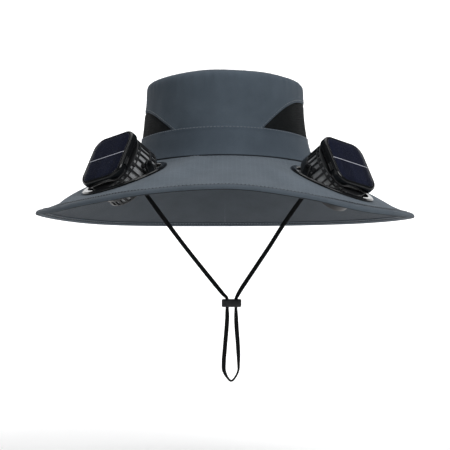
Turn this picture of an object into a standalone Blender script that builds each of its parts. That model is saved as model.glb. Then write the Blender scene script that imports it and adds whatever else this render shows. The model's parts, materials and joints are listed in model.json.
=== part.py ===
"""Sun hat with two solar fan units in its brim, for Blender 4.5, in metres with +Z up.

The origin is the middle of the head opening, at the height where crown and brim are sewn
together at the front. The front of the hat faces -Y. An azimuth is an angle round the hat,
zero at the front and positive towards +X. A side is -1 for the -X half and +1 for the +X half.
"""
import math

import bmesh
import bpy
from mathutils import Matrix, Vector

MM = 0.001
GAP = 0.3 * MM
STATIONS = 44
SHARP_ANGLE = math.radians(35)
UP = Vector((0, 0, 1))
SIDES = {"left": -1, "right": 1}

# Crown: half sizes are those of the outer cloth at the seam with the brim
CROWN_HALF_WIDTH = 93 * MM
CROWN_HALF_DEPTH = 106 * MM
CROWN_HEIGHT = 81 * MM
CROWN_SIDE_DIP = 4 * MM
SEAM_SIDE_DIP = 6 * MM
CROWN_WALL = 2 * MM
TOP_DOME = 7 * MM
TOP_THICKNESS = 2 * MM
BAND_HEIGHT = 25 * MM
BAND_THICKNESS = 1.5 * MM

# Mesh vents: arched windows in the crown wall just above the band
VENT_RISE = {"left": 29 * MM, "right": 37 * MM}
VENT_HALF_LENGTH = {"left": 90 * MM, "right": 96 * MM}
VENT_FULLNESS = {"left": 3.0, "right": 5.0}
VENT_SILL = 3 * MM
VENT_OVERLAP = 4 * MM
VENT_THICKNESS = 1 * MM
VENT_MIN_STEP = 0.05
WINDOW_STEPS = 16
WINDOW_END_HEIGHT = 0.01 * MM
WINDOW_CUT_SPAN = (0.1, 1.3)

# Brim: half sizes are those of its cloth edge, inside the binding
BRIM_HALF_WIDTH = 186.5 * MM
BRIM_HALF_DEPTH = 203 * MM
BRIM_DROP = 62 * MM
BRIM_BOW = 3 * MM
BRIM_THICKNESS = 2.2 * MM
BINDING_LIP = 5.5 * MM
BINDING_THICKNESS = 1.2 * MM
BINDING_BULGE = 2 * MM
BINDING_LIP_FLATNESS = 0.8

# Fan rings
RING_AZIMUTH = {"left": math.radians(-40.4), "right": math.radians(44.1)}
RING_DISTANCE = 141.5 * MM
RING_DEPTH = {"left": 22 * MM, "right": 26.5 * MM}
RING_LEAN = {"left": math.radians(21.5), "right": math.radians(24)}
RING_LEAN_AZIMUTH = {"left": math.radians(-60), "right": math.radians(63)}
RING_FLANGE_RADIUS = 41 * MM
RING_SLEEVE_RADIUS = 37.4 * MM
RING_BORE_RADIUS = 35.5 * MM
RING_FLANGE = 2.2 * MM
LOWER_RING_THICKNESS = 1.8 * MM
LOWER_RING_INSET = 1 * MM
RING_SEGMENTS = 28
EAR_THICKNESS = 3 * MM
EAR_RADIUS = 5.2 * MM
EAR_FOOT = 1 * MM
EAR_INSET = 0.5 * MM
EAR_STEPS = 6
PIVOT_HEIGHT = 9 * MM
PIN_RADIUS = 2.2 * MM
PIN_SEGMENTS = 10
BORE_SEGMENTS = 12
BRIM_FLAT_MARGIN = 16 * MM
BRIM_FADE = 24 * MM
BRIM_FIRM_MARGIN = 3 * MM
BRIM_FIRM_FADE = 4 * MM

# Fan units: heights are along the fan's axis from the tilt pivot
PANEL_AZIMUTH = {"left": math.radians(-49.5), "right": math.radians(49.5)}
PANEL_RISE = math.radians(33.5)
DRUM_RADIUS = 30.5 * MM
DRUM_TOP = 12 * MM
DRUM_BOTTOM = -14 * MM
DRUM_WALL = 1.6 * MM
DRUM_QUARTER_BARS = 8
SMALL_SLOT = 4 * MM
DECK_RIM = 2.5 * MM
SLOT_RING = 1.5 * MM
BIG_SLOT = 11 * MM
GUARD_THICKNESS = 1.6 * MM
GUARD_SPOKES = 5
GUARD_RING_SHARES = (0.5, 0.57, 0.84)
MOTOR_RADIUS = 11 * MM
MOTOR_LENGTH = 10 * MM
HUB_RADIUS = 8.5 * MM
HUB_LENGTH = 7 * MM
HUB_SEGMENTS = 16
BLADE_COUNT = 5
BLADE_REACH = 26 * MM
BLADE_THICKNESS = 1.2 * MM
BLADE_ROOT_SHARE = 0.85
BLADE_MIDDLE_SHARE = 0.65
BLADE_ROOT_CHORD = 8 * MM
BLADE_TIP_CHORD = 13 * MM
BLADE_ROOT_PITCH = math.radians(38)
BLADE_TIP_PITCH = math.radians(22)
PANEL_HALF = 26.8 * MM
PANEL_CORNER = 12.5 * MM
PANEL_DEPTH = 8.7 * MM
PANEL_EDGE = 1 * MM
PANEL_ROLL = math.radians(12.5)
CELL_HALF = 23.6 * MM
CELL_THICKNESS = 1.2 * MM
SWITCH_LENGTH = 8 * MM
SWITCH_HEIGHT = 3 * MM
SWITCH_THICKNESS = 1 * MM
SWITCH_OFFSET = 9 * MM

# Chin cord and its slider
CORD_WIDTH = 4.4 * MM
CORD_STEP = 11 * MM
CORD_BEND_STEP = 4 * MM
CORD_LOOP_HEIGHT = -200 * MM
CORD_END_HEIGHT = -30 * MM
CORD_CURVE_DENSITY = 24
SLIDER_LENGTH = 20 * MM
SLIDER_DEPTH = 9 * MM
SLIDER_HEIGHT = 8 * MM
SLIDER_CORNER = 3.5 * MM
TAB_LENGTH = 14 * MM
TAB_WIDTH = 6 * MM
TAB_THICKNESS = 1.6 * MM
TAB_GAP = 0.5 * MM

# Share of the crown's height, of its half width and of its half depth
CROWN_SECTIONS = (
    (0.000, 1.000, 1.000),
    (0.310, 0.905, 0.952),
    (0.620, 0.875, 0.930),
    (0.920, 0.862, 0.916),
    (1.000, 0.820, 0.880),
)

# Azimuth in degrees, and the drop of the rim on each side as a share of BRIM_DROP
RIM_DROPS = (
    (0, 0.500, 0.500),
    (20, 0.560, 0.610),
    (40, 0.690, 0.785),
    (60, 0.800, 0.850),
    (90, 0.830, 0.875),
    (135, 0.975, 0.965),
    (180, 1.000, 1.000),
)

# Share of the way from the seam to the cloth edge, and how far a ring holds the cloth flat
LIP_SHARE = 1 - BINDING_LIP / (BRIM_HALF_WIDTH - CROWN_HALF_WIDTH)
BRIM_ROWS = (
    (0.000, 0.0),
    (0.025, 1.0),
    (0.300, 1.0),
    (0.570, 1.0),
    (0.840, 1.0),
    (LIP_SHARE, 0.4),
    (1.000, 0.0),
)

# Radius of the top panel's rows, as shares of its outline
TOP_ROWS = (1.0, 0.55)

# The chin cord's route in the plane of the two tabs: sideways and downwards, chosen by eye
CORD_ROUTE = (
    (-95.05, -11.95), (-93.0, -15.4), (-78.8, -34.2), (-61.2, -58.2),
    (-39.8, -86.6), (-17.3, -114.9), (-2.8, -132.6), (1.4, -136.9), (2.2, -139.4), (2.2, -142.8),
    (2.2, -149.0), (2.0, -162.0), (-0.2, -189.0), (-1.2, -202.0), (-0.5, -212.5),
    (6.2, -221.4), (12.9, -212.8), (13.7, -202.0), (13.0, -185.0), (11.6, -166.0),
    (11.0, -149.0), (11.0, -142.8), (11.0, -139.4), (12.0, -136.4), (17.0, -127.6), (31.1, -106.4),
    (45.2, -85.2), (59.6, -62.5), (77.4, -37.2), (93.0, -15.4), (95.0, -12.0),
)
SLIDER_PLACE = Vector((6.6 * MM, 0, -142.8 * MM))
SLIDER_HOLE_SPACING = 8.8 * MM


def material(name, color, roughness, metallic=0.0):
    """A Principled material with one colour."""
    made = bpy.data.materials.new(name)
    made.use_nodes = True
    shader = made.node_tree.nodes["Principled BSDF"]
    shader.inputs["Base Color"].default_value = (*color, 1.0)
    shader.inputs["Roughness"].default_value = roughness
    shader.inputs["Metallic"].default_value = metallic
    made.diffuse_color = (*color, 1.0)
    return made


def part(name, mesh, look, parent=None):
    """One named object of the hat, shaded smooth up to a sharp angle."""
    bmesh.ops.recalc_face_normals(mesh, faces=mesh.faces)
    data = bpy.data.meshes.new(name)
    mesh.to_mesh(data)
    mesh.free()
    data.shade_smooth()
    data.set_sharp_from_angle(angle=SHARP_ANGLE)
    data.materials.append(look)
    made = bpy.data.objects.new(name, data)
    bpy.context.collection.objects.link(made)
    made.parent = parent
    return made


def cutter(name, mesh, parent=None):
    """A guide for a Boolean, left out of the model."""
    bmesh.ops.recalc_face_normals(mesh, faces=mesh.faces)
    data = bpy.data.meshes.new(name)
    mesh.to_mesh(data)
    mesh.free()
    made = bpy.data.objects.new(name, data)
    bpy.context.collection.objects.link(made)
    made.parent = parent
    made.hide_render = True
    made.display_type = "WIRE"
    return made


def combine(target, tool, operation):
    """Join or cut a part with a guide."""
    step = target.modifiers.new(operation.lower(), "BOOLEAN")
    step.operation = operation
    step.object = tool
    step.solver = "EXACT"


def empty(name, place):
    """A frame that pieces are placed by."""
    made = bpy.data.objects.new(name, None)
    bpy.context.collection.objects.link(made)
    made.matrix_world = place
    return made


def skin(rings, around=True, along=False, caps=False):
    """Faces between rings of points: around closes each ring, along joins the last to the first."""
    mesh = bmesh.new()
    rows = [[mesh.verts.new(point) for point in ring] for ring in rings]
    count = len(rows[0])
    pairs = list(zip(rows, rows[1:]))
    if along:
        pairs.append((rows[-1], rows[0]))
    for near, far in pairs:
        for index in range(count if around else count - 1):
            other = (index + 1) % count
            mesh.faces.new((near[index], near[other], far[other], far[index]))
    if caps:
        mesh.faces.new(rows[0])
        mesh.faces.new(rows[-1])
    return mesh


def circle(radius, height, count, start=0.0):
    """Points round the Z axis."""
    angles = [start + 2 * math.pi * step / count for step in range(count)]
    return [Vector((radius * math.cos(a), radius * math.sin(a), height)) for a in angles]


def turned(profile, count):
    """A solid turned round Z from a closed profile of radius and height."""
    rings = [circle(radius, height, count) for radius, height in profile]
    return skin(rings, along=True)


def cylinder(radius, low, high, count):
    """A closed cylinder on the Z axis."""
    return skin([circle(radius, low, count), circle(radius, high, count)], caps=True)


def rounded_rectangle(half_x, half_y, corner, height, steps=4):
    """Points of a rectangle with round corners."""
    points = []
    for quarter, (sign_x, sign_y) in enumerate(((1, 1), (-1, 1), (-1, -1), (1, -1))):
        middle = Vector((sign_x * (half_x - corner), sign_y * (half_y - corner), height))
        for step in range(steps + 1):
            angle = math.pi / 2 * (quarter + step / steps)
            points.append(middle + Vector((corner * math.cos(angle), corner * math.sin(angle), 0)))
    return points


def smooth_value(rows, key, column):
    """A table's column at a key, on a smooth curve that is level at both ends."""
    last = len(rows) - 1
    index = next((i for i in range(last) if key <= rows[i + 1][0]), last - 1)
    start, end = rows[index], rows[index + 1]
    span = end[0] - start[0]
    share = (key - start[0]) / span

    def slope(i):
        if i in (0, last):
            return 0.0
        return (rows[i + 1][column] - rows[i - 1][column]) / (rows[i + 1][0] - rows[i - 1][0])

    square, cube = share ** 2, share ** 3
    return ((2 * cube - 3 * square + 1) * start[column] + (cube - 2 * square + share) * span * slope(index)
            + (3 * square - 2 * cube) * end[column] + (cube - square) * span * slope(index + 1))


def azimuths():
    """The azimuth of each station."""
    return [2 * math.pi * step / STATIONS for step in range(STATIONS)]


def on_ellipse(azimuth, half_width, half_depth, inset=0.0):
    """A point of an upright oval wall, moved inwards at right angles to it."""
    outward = Vector((math.sin(azimuth) / half_width, -math.cos(azimuth) / half_depth, 0)).normalized()
    return Vector((half_width * math.sin(azimuth), -half_depth * math.cos(azimuth), 0)) - inset * outward


def seam_height(azimuth):
    """Height of the brim's upper side at the seam."""
    return -SEAM_SIDE_DIP * math.sin(azimuth) ** 2


def crown_top_height(azimuth):
    """Height of the crown wall's upper edge."""
    return CROWN_HEIGHT - CROWN_SIDE_DIP * math.sin(azimuth) ** 2


def crown_point(azimuth, share, inset=0.0):
    """A point of the crown's outer side at a share of its height, moved inwards."""
    for low, high in zip(CROWN_SECTIONS, CROWN_SECTIONS[1:]):
        if share <= high[0]:
            break
    part_way = (share - low[0]) / (high[0] - low[0])
    width = CROWN_HALF_WIDTH * (low[1] + part_way * (high[1] - low[1]))
    depth = CROWN_HALF_DEPTH * (low[2] + part_way * (high[2] - low[2]))
    foot = seam_height(azimuth) + GAP
    point = on_ellipse(azimuth, width, depth, inset)
    point.z = foot + share * (crown_top_height(azimuth) - foot)
    return point


def crown_share(azimuth, height):
    """The share of the crown's height that a height stands for."""
    foot = seam_height(azimuth) + GAP
    return (height - foot) / (crown_top_height(azimuth) - foot)


def facing(azimuth, rise):
    """Unit vector that looks out of the hat at an azimuth, and upwards by an angle."""
    outward = Vector((math.sin(azimuth), -math.cos(azimuth), 0))
    return outward * math.cos(rise) + UP * math.sin(rise)


def frame_matrix(x_axis, z_axis, origin):
    """A frame from two axes at right angles and its origin."""
    place = Matrix((x_axis, z_axis.cross(x_axis), z_axis)).transposed().to_4x4()
    place.translation = origin
    return place


def ring_frame(name):
    """Frame of a fan ring: Z is its normal, and its unit tilts about Y, towards X."""
    normal = facing(RING_LEAN_AZIMUTH[name], math.pi / 2 - RING_LEAN[name])
    panel = facing(PANEL_AZIMUTH[name], PANEL_RISE)
    towards = (panel - normal * panel.dot(normal)).normalized()
    middle = facing(RING_AZIMUTH[name], 0) * RING_DISTANCE - UP * RING_DEPTH[name]
    return frame_matrix(towards, normal, middle)


def open_tilt(name):
    """Angle from the ring's normal to the fan's axis."""
    normal = facing(RING_LEAN_AZIMUTH[name], math.pi / 2 - RING_LEAN[name])
    return normal.angle(facing(PANEL_AZIMUTH[name], PANEL_RISE))


def panel_roll(name, unit_place):
    """Turn of the square panel about the fan's axis, from its unit's frame."""
    side = SIDES[name]
    panel = facing(PANEL_AZIMUTH[name], PANEL_RISE)
    level = UP.cross(panel).normalized()
    wanted = Matrix.Rotation(-side * PANEL_ROLL, 4, "Z")
    return unit_place.inverted() @ frame_matrix(level, panel, unit_place.translation) @ wanted


RING_FRAMES = {name: ring_frame(name) for name in SIDES}
WALL_INSET = BAND_THICKNESS + GAP
HEAD_INSET = WALL_INSET + CROWN_WALL


def brim_top(azimuth, share, hold):
    """A point of the brim's upper side, held flat near a ring and always so under its flange."""
    seam = on_ellipse(azimuth, CROWN_HALF_WIDTH, CROWN_HALF_DEPTH)
    edge = on_ellipse(azimuth, BRIM_HALF_WIDTH, BRIM_HALF_DEPTH)
    point = seam.lerp(edge, share)
    from_front = math.remainder(azimuth, 2 * math.pi)
    column = 2 if from_front >= 0 else 1
    drop = BRIM_DROP * smooth_value(RIM_DROPS, abs(math.degrees(from_front)), column)
    bow = BRIM_BOW * 4 * share * (1 - share)
    point.z = (1 - share) * seam_height(azimuth) - share * drop - bow
    for frame in RING_FRAMES.values():
        middle, normal = frame.translation, frame.col[2].to_3d()
        local = frame.inverted() @ point
        distance = math.hypot(local.x, local.y) - RING_FLANGE_RADIUS
        fade = min(max((BRIM_FLAT_MARGIN + BRIM_FADE - distance) / BRIM_FADE, 0), 1)
        firm = min(max((BRIM_FIRM_MARGIN + BRIM_FIRM_FADE - distance) / BRIM_FIRM_FADE, 0), 1)
        weight = max(hold * fade * fade * (3 - 2 * fade), firm)
        offset = point - middle
        level = middle.z - (offset.x * normal.x + offset.y * normal.y) / normal.z
        point.z += weight * (level - point.z)
    return point


def make_crown(looks):
    """Wall, band and top panel of the crown, with its mesh vents."""
    wall_rings = []
    for azimuth in azimuths():
        outer = [crown_point(azimuth, row[0], WALL_INSET) for row in CROWN_SECTIONS]
        inner = [crown_point(azimuth, row[0], HEAD_INSET) for row in reversed(CROWN_SECTIONS)]
        wall_rings.append(outer + inner)
    wall = part("crown_wall", skin(wall_rings, along=True), looks["cloth"])

    band_rings = []
    for azimuth in azimuths():
        share = crown_share(azimuth, BAND_HEIGHT + seam_height(azimuth))
        rise = [0.0, share]
        outer = [crown_point(azimuth, step) for step in rise]
        inner = [crown_point(azimuth, step, BAND_THICKNESS) for step in reversed(rise)]
        band_rings.append(outer + inner)
    part("hat_band", skin(band_rings, along=True), looks["band"])

    for name, side in SIDES.items():
        window = cutter(name + "_vent_window", arch_block(name))
        combine(wall, window, "DIFFERENCE")
        part(name + "_mesh_vent", vent_panel(name, side), looks["mesh"])

    upper, lower = [], []
    for share in TOP_ROWS:
        upper.append([top_point(azimuth, share, 0) for azimuth in azimuths()])
        lower.insert(0, [top_point(azimuth, share, TOP_THICKNESS) for azimuth in azimuths()])
    top = skin(list(reversed(upper)) + list(reversed(lower)))
    for ring, depth in ((upper[-1], 0), (lower[0], TOP_THICKNESS)):
        close_with_fan(top, ring, top_point(0, 0, depth))
    part("crown_top", top, looks["cloth"])


def top_point(azimuth, share, depth):
    """A point of the domed top panel, which fits inside the wall's upper edge."""
    edge = crown_point(azimuth, 1.0, HEAD_INSET + GAP)
    rise = TOP_DOME * (1 - share ** 2)
    rim_height = CROWN_HEIGHT - CROWN_SIDE_DIP * math.sin(azimuth) ** 2 * share ** 2
    return Vector((edge.x * share, edge.y * share, rim_height + rise - depth))


def close_with_fan(mesh, ring, middle):
    """Triangles from a ring of points to one middle point."""
    mesh.verts.ensure_lookup_table()
    found = [min(mesh.verts, key=lambda vert, at=point: (vert.co - at).length) for point in ring]
    hub = mesh.verts.new(middle)
    for near, far in zip(found, found[1:] + found[:1]):
        mesh.faces.new((near, far, hub))


def arch_height(side_name, along, extra):
    """Height of a vent's arch over its sill line, at a distance from the side's middle."""
    reach = VENT_HALF_LENGTH[side_name] + extra
    rise = VENT_RISE[side_name] + VENT_SILL + extra
    share = min(abs(along) / reach, 1.0)
    return rise * (1 - share ** VENT_FULLNESS[side_name])


def arch_block(side_name):
    """A block with the vent's arched outline, reaching out through the crown's side."""
    reach = VENT_HALF_LENGTH[side_name]
    sill = vent_sill_height()
    outline = [Vector((0, -reach, sill))]
    for step in range(WINDOW_STEPS + 1):
        along = -reach + 2 * reach * step / WINDOW_STEPS
        height = sill + WINDOW_END_HEIGHT + arch_height(side_name, along, 0)
        outline.append(Vector((0, along, height)))
    outline.append(Vector((0, reach, sill)))
    ends = []
    for share in WINDOW_CUT_SPAN:
        offset = Vector((SIDES[side_name] * CROWN_HALF_WIDTH * share, 0, 0))
        ends.append([point + offset for point in outline])
    return skin(ends, caps=True)


def vent_sill_height():
    """Height of the windows' lower edge, which the band covers."""
    return BAND_HEIGHT - SEAM_SIDE_DIP - VENT_SILL


def vent_panel(side_name, side):
    """A thin panel that lies against the wall's inner side, all round the window."""
    inset = HEAD_INSET + GAP
    bend, next_bend = CROWN_SECTIONS[1][0], CROWN_SECTIONS[2][0]
    rows = []
    for azimuth in azimuths():
        along = -CROWN_HALF_DEPTH * CROWN_SECTIONS[1][2] * math.cos(azimuth)
        if side * math.sin(azimuth) <= 0 or abs(along) > VENT_HALF_LENGTH[side_name] + 2 * VENT_OVERLAP:
            continue
        top = vent_sill_height() + arch_height(side_name, along, VENT_OVERLAP) + VENT_OVERLAP
        low = crown_share(azimuth, vent_sill_height() - VENT_OVERLAP)
        high = max(crown_share(azimuth, top), bend + VENT_MIN_STEP)
        middle = next_bend if high > next_bend else (bend + high) / 2
        steps = [low, bend, middle, high]
        outer = [crown_point(azimuth, step, inset) for step in steps]
        inner = [crown_point(azimuth, step, inset + VENT_THICKNESS) for step in reversed(steps)]
        rows.append(outer + inner)
    return skin(rows, caps=True)


def make_brim(looks):
    """The brim's cloth, the binding round its edge and the tabs that hold the chin cord."""
    brim_rings, binding_rings = [], []
    drop = Vector((0, 0, -BRIM_THICKNESS))
    for azimuth in azimuths():
        opening = on_ellipse(azimuth, CROWN_HALF_WIDTH, CROWN_HALF_DEPTH, HEAD_INSET)
        opening.z = seam_height(azimuth)
        upper = [opening] + [brim_top(azimuth, share, hold) for share, hold in BRIM_ROWS]
        brim_rings.append(upper + [point + drop for point in reversed(upper)])
        binding_rings.append(binding_section(upper[-2], upper[-1]))
    brim = part("brim", skin(brim_rings, along=True), looks["cloth"])
    part("brim_binding", skin(binding_rings, along=True), looks["binding"])
    for name, frame in RING_FRAMES.items():
        hole = cylinder(RING_SLEEVE_RADIUS + GAP, -4 * BRIM_THICKNESS, 4 * BRIM_THICKNESS, RING_SEGMENTS)
        hole.transform(frame)
        combine(brim, cutter(name + "_ring_hole", hole), "DIFFERENCE")
    for name, side in SIDES.items():
        part(name + "_cord_tab", cord_tab(side), looks["binding"])


def binding_section(lip, edge):
    """The binding's folded section over the cloth edge, from the lip's row to the edge's."""
    out = (edge - lip).normalized()
    under = -BRIM_THICKNESS - GAP
    tip = edge + out * GAP
    nose = edge + out * (GAP + BINDING_BULGE)
    middle = UP * (under / 2)
    return [
        lip + UP * GAP,
        tip + UP * GAP,
        tip + UP * under,
        lip + UP * under,
        lip + UP * (under - BINDING_THICKNESS * BINDING_LIP_FLATNESS),
        tip + UP * (under - BINDING_THICKNESS),
        nose + middle - UP * BINDING_THICKNESS,
        nose + middle + UP * BINDING_THICKNESS,
        tip + UP * (GAP + BINDING_THICKNESS),
        lip + UP * (GAP + BINDING_THICKNESS * BINDING_LIP_FLATNESS),
    ]


def cord_tab(side):
    """A small sewn tab under the brim, just outside the seam at the hat's side."""
    azimuth = side * math.pi / 2
    near, far = [brim_top(azimuth, share, hold) for share, hold in BRIM_ROWS[1:3]]
    slope = (far - near).normalized()
    middle = near - UP * (BRIM_THICKNESS + TAB_GAP)
    half = Vector((0, TAB_LENGTH / 2, 0))
    low = -UP * TAB_THICKNESS
    rings = []
    for step in (-TAB_WIDTH / 2, TAB_WIDTH / 2):
        point = middle + slope * step
        rings.append([point - half, point + half, point + half + low, point - half + low])
    return skin(rings, caps=True)


def make_ring(name, frame, looks):
    """A fan ring: a flange on the brim, a sleeve through it, two pivot ears and a ring below."""
    under = BRIM_THICKNESS + GAP
    foot = -(under + GAP + LOWER_RING_THICKNESS)
    top = GAP + RING_FLANGE
    profile = [
        (RING_BORE_RADIUS, foot), (RING_SLEEVE_RADIUS, foot), (RING_SLEEVE_RADIUS, GAP),
        (RING_FLANGE_RADIUS, GAP), (RING_FLANGE_RADIUS, top), (RING_BORE_RADIUS, top),
    ]
    ring = part(name + "_ring", turned(profile, RING_SEGMENTS), looks["gloss"], frame)
    for end in (-1, 1):
        near = end * (RING_BORE_RADIUS + EAR_INSET)
        far = near + end * EAR_THICKNESS
        outline = [Vector((EAR_RADIUS, 0, EAR_FOOT))]
        for step in range(EAR_STEPS + 1):
            angle = math.pi * step / EAR_STEPS
            height = PIVOT_HEIGHT + EAR_RADIUS * math.sin(angle)
            outline.append(Vector((EAR_RADIUS * math.cos(angle), 0, height)))
        outline.append(Vector((-EAR_RADIUS, 0, EAR_FOOT)))
        rings = [[point + Vector((0, y, 0)) for point in outline] for y in (near, far)]
        label = name + ("_ear_near" if end < 0 else "_ear_far")
        combine(ring, cutter(label, skin(rings, caps=True), frame), "UNION")
    bore = cylinder(PIN_RADIUS + GAP, -RING_FLANGE_RADIUS, RING_FLANGE_RADIUS, BORE_SEGMENTS)
    bore.transform(Matrix.Translation((0, 0, PIVOT_HEIGHT)) @ Matrix.Rotation(math.pi / 2, 4, "X"))
    combine(ring, cutter(name + "_ear_bore", bore, frame), "DIFFERENCE")

    inside = RING_SLEEVE_RADIUS + GAP
    outside = RING_FLANGE_RADIUS - LOWER_RING_INSET
    low = -(under + LOWER_RING_THICKNESS)
    lower = [(inside, low), (outside, low), (outside, -under), (inside, -under)]
    part(name + "_ring_lower", turned(lower, RING_SEGMENTS), looks["plastic"], frame)


def drum_rows():
    """Heights of the drum's rows from its deck down, and whether each row has slots."""
    rows = [(DRUM_TOP, False)]
    for height, slotted in ((DECK_RIM, True), (SMALL_SLOT, False), (SLOT_RING, True), (BIG_SLOT, False)):
        rows.append((rows[-1][0] - height, slotted))
    rows.append((DRUM_BOTTOM, False))
    return rows


def make_drum(name, frame, looks):
    """The slotted drum: its wall is cut between bars, and its deck closes the panel's end."""
    count = 4 * DRUM_QUARTER_BARS
    start = -math.pi / count
    rows = drum_rows()
    mesh = bmesh.new()
    rings = [[mesh.verts.new(point) for point in circle(DRUM_RADIUS, height, count, start)]
             for height, slotted in rows]
    for row, (height, slotted) in enumerate(rows[:-1]):
        for column in range(count):
            if slotted and (column - DRUM_QUARTER_BARS) % 2 == 1:
                continue
            other = (column + 1) % count
            upper, lower = rings[row], rings[row + 1]
            mesh.faces.new((upper[column], lower[column], lower[other], upper[other]))
    mesh.faces.new(rings[0])
    drum = part(name + "_fan_drum", mesh, looks["plastic"], frame)
    wall = drum.modifiers.new("wall", "SOLIDIFY")
    wall.thickness = DRUM_WALL
    wall.offset = -1
    wall.use_even_offset = True
    for end in (-1, 1):
        reach = RING_BORE_RADIUS + EAR_THICKNESS - (DRUM_RADIUS - DRUM_WALL / 2)
        pin = cylinder(PIN_RADIUS, 0, reach, PIN_SEGMENTS)
        place = Matrix.Translation((0, end * (DRUM_RADIUS - DRUM_WALL / 2), 0))
        pin.transform(place @ Matrix.Rotation(-end * math.pi / 2, 4, "X"))
        label = name + ("_pin_near" if end < 0 else "_pin_far")
        combine(drum, cutter(label, pin, frame), "UNION")


def make_guard(name, frame, looks):
    """The grille that closes the drum's rear end: rings and spokes round a middle disc."""
    columns = 4 * GUARD_SPOKES
    rim = (DRUM_RADIUS - DRUM_WALL) * math.cos(math.pi / (4 * DRUM_QUARTER_BARS)) - GAP
    radii = [HUB_RADIUS] + [rim * share for share in GUARD_RING_SHARES] + [rim]
    gaps = [True, False, True, False]
    mesh = bmesh.new()
    rings = [[mesh.verts.new(point) for point in circle(radius, DRUM_BOTTOM + GUARD_THICKNESS, columns)]
             for radius in radii]
    mesh.faces.new(rings[0])
    for row, gap in enumerate(gaps):
        for column in range(columns):
            if gap and column % 4 != 0:
                continue
            other = (column + 1) % columns
            inner, outer = rings[row], rings[row + 1]
            mesh.faces.new((inner[column], outer[column], outer[other], inner[other]))
    guard = part(name + "_fan_guard", mesh, looks["plastic"], frame)
    wall = guard.modifiers.new("wall", "SOLIDIFY")
    wall.thickness = GUARD_THICKNESS
    wall.offset = -1


def make_impeller(name, frame, looks):
    """Hub and twisted blades, hung a running gap below the motor."""
    top = DRUM_TOP - DRUM_WALL - GAP - MOTOR_LENGTH - GAP
    hub = cylinder(HUB_RADIUS, top - HUB_LENGTH, top, HUB_SEGMENTS)
    rotor = part(name + "_impeller", hub, looks["plastic"], frame)
    middle = top - HUB_LENGTH / 2
    for number in range(BLADE_COUNT):
        rings = []
        stops = ((HUB_RADIUS * BLADE_ROOT_SHARE, BLADE_ROOT_CHORD, BLADE_ROOT_PITCH),
                 (BLADE_REACH * BLADE_MIDDLE_SHARE, (BLADE_ROOT_CHORD + BLADE_TIP_CHORD) / 2,
                  (BLADE_ROOT_PITCH + BLADE_TIP_PITCH) / 2),
                 (BLADE_REACH, BLADE_TIP_CHORD, BLADE_TIP_PITCH))
        for radius, chord, pitch in stops:
            along = Vector((0, math.cos(pitch), math.sin(pitch))) * chord / 2
            thick = Vector((0, -math.sin(pitch), math.cos(pitch))) * BLADE_THICKNESS / 2
            centre = Vector((radius, 0, middle))
            rings.append([centre - along - thick, centre + along - thick,
                          centre + along + thick, centre - along + thick])
        blade = skin(rings, caps=True)
        blade.transform(Matrix.Rotation(2 * math.pi * number / BLADE_COUNT, 4, "Z"))
        combine(rotor, cutter("%s_blade_%d" % (name, number), blade, frame), "UNION")


def make_panel(name, side, frame, roll, looks):
    """The square housing over the drum, with the solar cell in its face and a small switch."""
    low = DRUM_TOP + GAP
    high = low + PANEL_DEPTH
    floor = high - CELL_THICKNESS - GAP

    def outline(half, height):
        corner = PANEL_CORNER - (PANEL_HALF - half)
        return rounded_rectangle(half, half, corner, height)

    recess = CELL_HALF + GAP
    rings = [
        outline(PANEL_HALF - PANEL_EDGE, low), outline(PANEL_HALF, low + PANEL_EDGE),
        outline(PANEL_HALF, high - PANEL_EDGE), outline(PANEL_HALF - PANEL_EDGE, high),
        outline(recess, high), outline(recess, floor),
    ]
    housing = skin(rings, caps=True)
    housing.transform(roll)
    part(name + "_panel_housing", housing, looks["gloss"], frame)

    cell = skin([outline(CELL_HALF, floor + GAP), outline(CELL_HALF, floor + GAP + CELL_THICKNESS)],
                caps=True)
    cell.transform(roll)
    part(name + "_solar_cell", cell, looks["cell"], frame)

    half = SWITCH_LENGTH / 2
    middle = (low + high) / 2
    near = -side * (PANEL_HALF + GAP)
    far = near - side * SWITCH_THICKNESS
    rings = []
    for across in (near, far):
        rings.append([Vector((across, y - SWITCH_OFFSET, middle + z)) for y, z in (
            (-half, -SWITCH_HEIGHT / 2), (half, -SWITCH_HEIGHT / 2),
            (half, SWITCH_HEIGHT / 2), (-half, SWITCH_HEIGHT / 2))])
    switch = skin(rings, caps=True)
    switch.transform(roll)
    part(name + "_panel_switch", switch, looks["plastic"], frame)


def make_fan_units(looks):
    """Ring, drum, guard, motor, impeller and panel on each side."""
    for name, side in SIDES.items():
        ring_place = RING_FRAMES[name]
        ring_empty = empty(name + "_ring_frame", ring_place)
        make_ring(name, ring_empty, looks)
        tilt = Matrix.Translation((0, 0, PIVOT_HEIGHT)) @ Matrix.Rotation(open_tilt(name), 4, "Y")
        unit_place = ring_place @ tilt
        unit = empty(name + "_tilt_pivot", unit_place)
        make_drum(name, unit, looks)
        make_guard(name, unit, looks)
        motor_top = DRUM_TOP - DRUM_WALL - GAP
        motor = cylinder(MOTOR_RADIUS, motor_top - MOTOR_LENGTH, motor_top, HUB_SEGMENTS)
        part(name + "_fan_motor", motor, looks["metal"], unit)
        make_impeller(name, unit, looks)
        make_panel(name, side, unit, panel_roll(name, unit_place), looks)


def smooth_route(points):
    """Closely spaced points of a smooth curve through a route's points."""
    ends = [2 * points[0] - points[1]] + points + [2 * points[-1] - points[-2]]
    dense = []
    for before, start, end, after in zip(ends, ends[1:], ends[2:], ends[3:]):
        for step in range(CORD_CURVE_DENSITY):
            t = step / CORD_CURVE_DENSITY
            dense.append(0.5 * (2 * start + (end - before) * t
                                + (2 * before - 5 * start + 4 * end - after) * t ** 2
                                + (3 * start - before - 3 * end + after) * t ** 3))
    dense.append(points[-1])
    return dense


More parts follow.
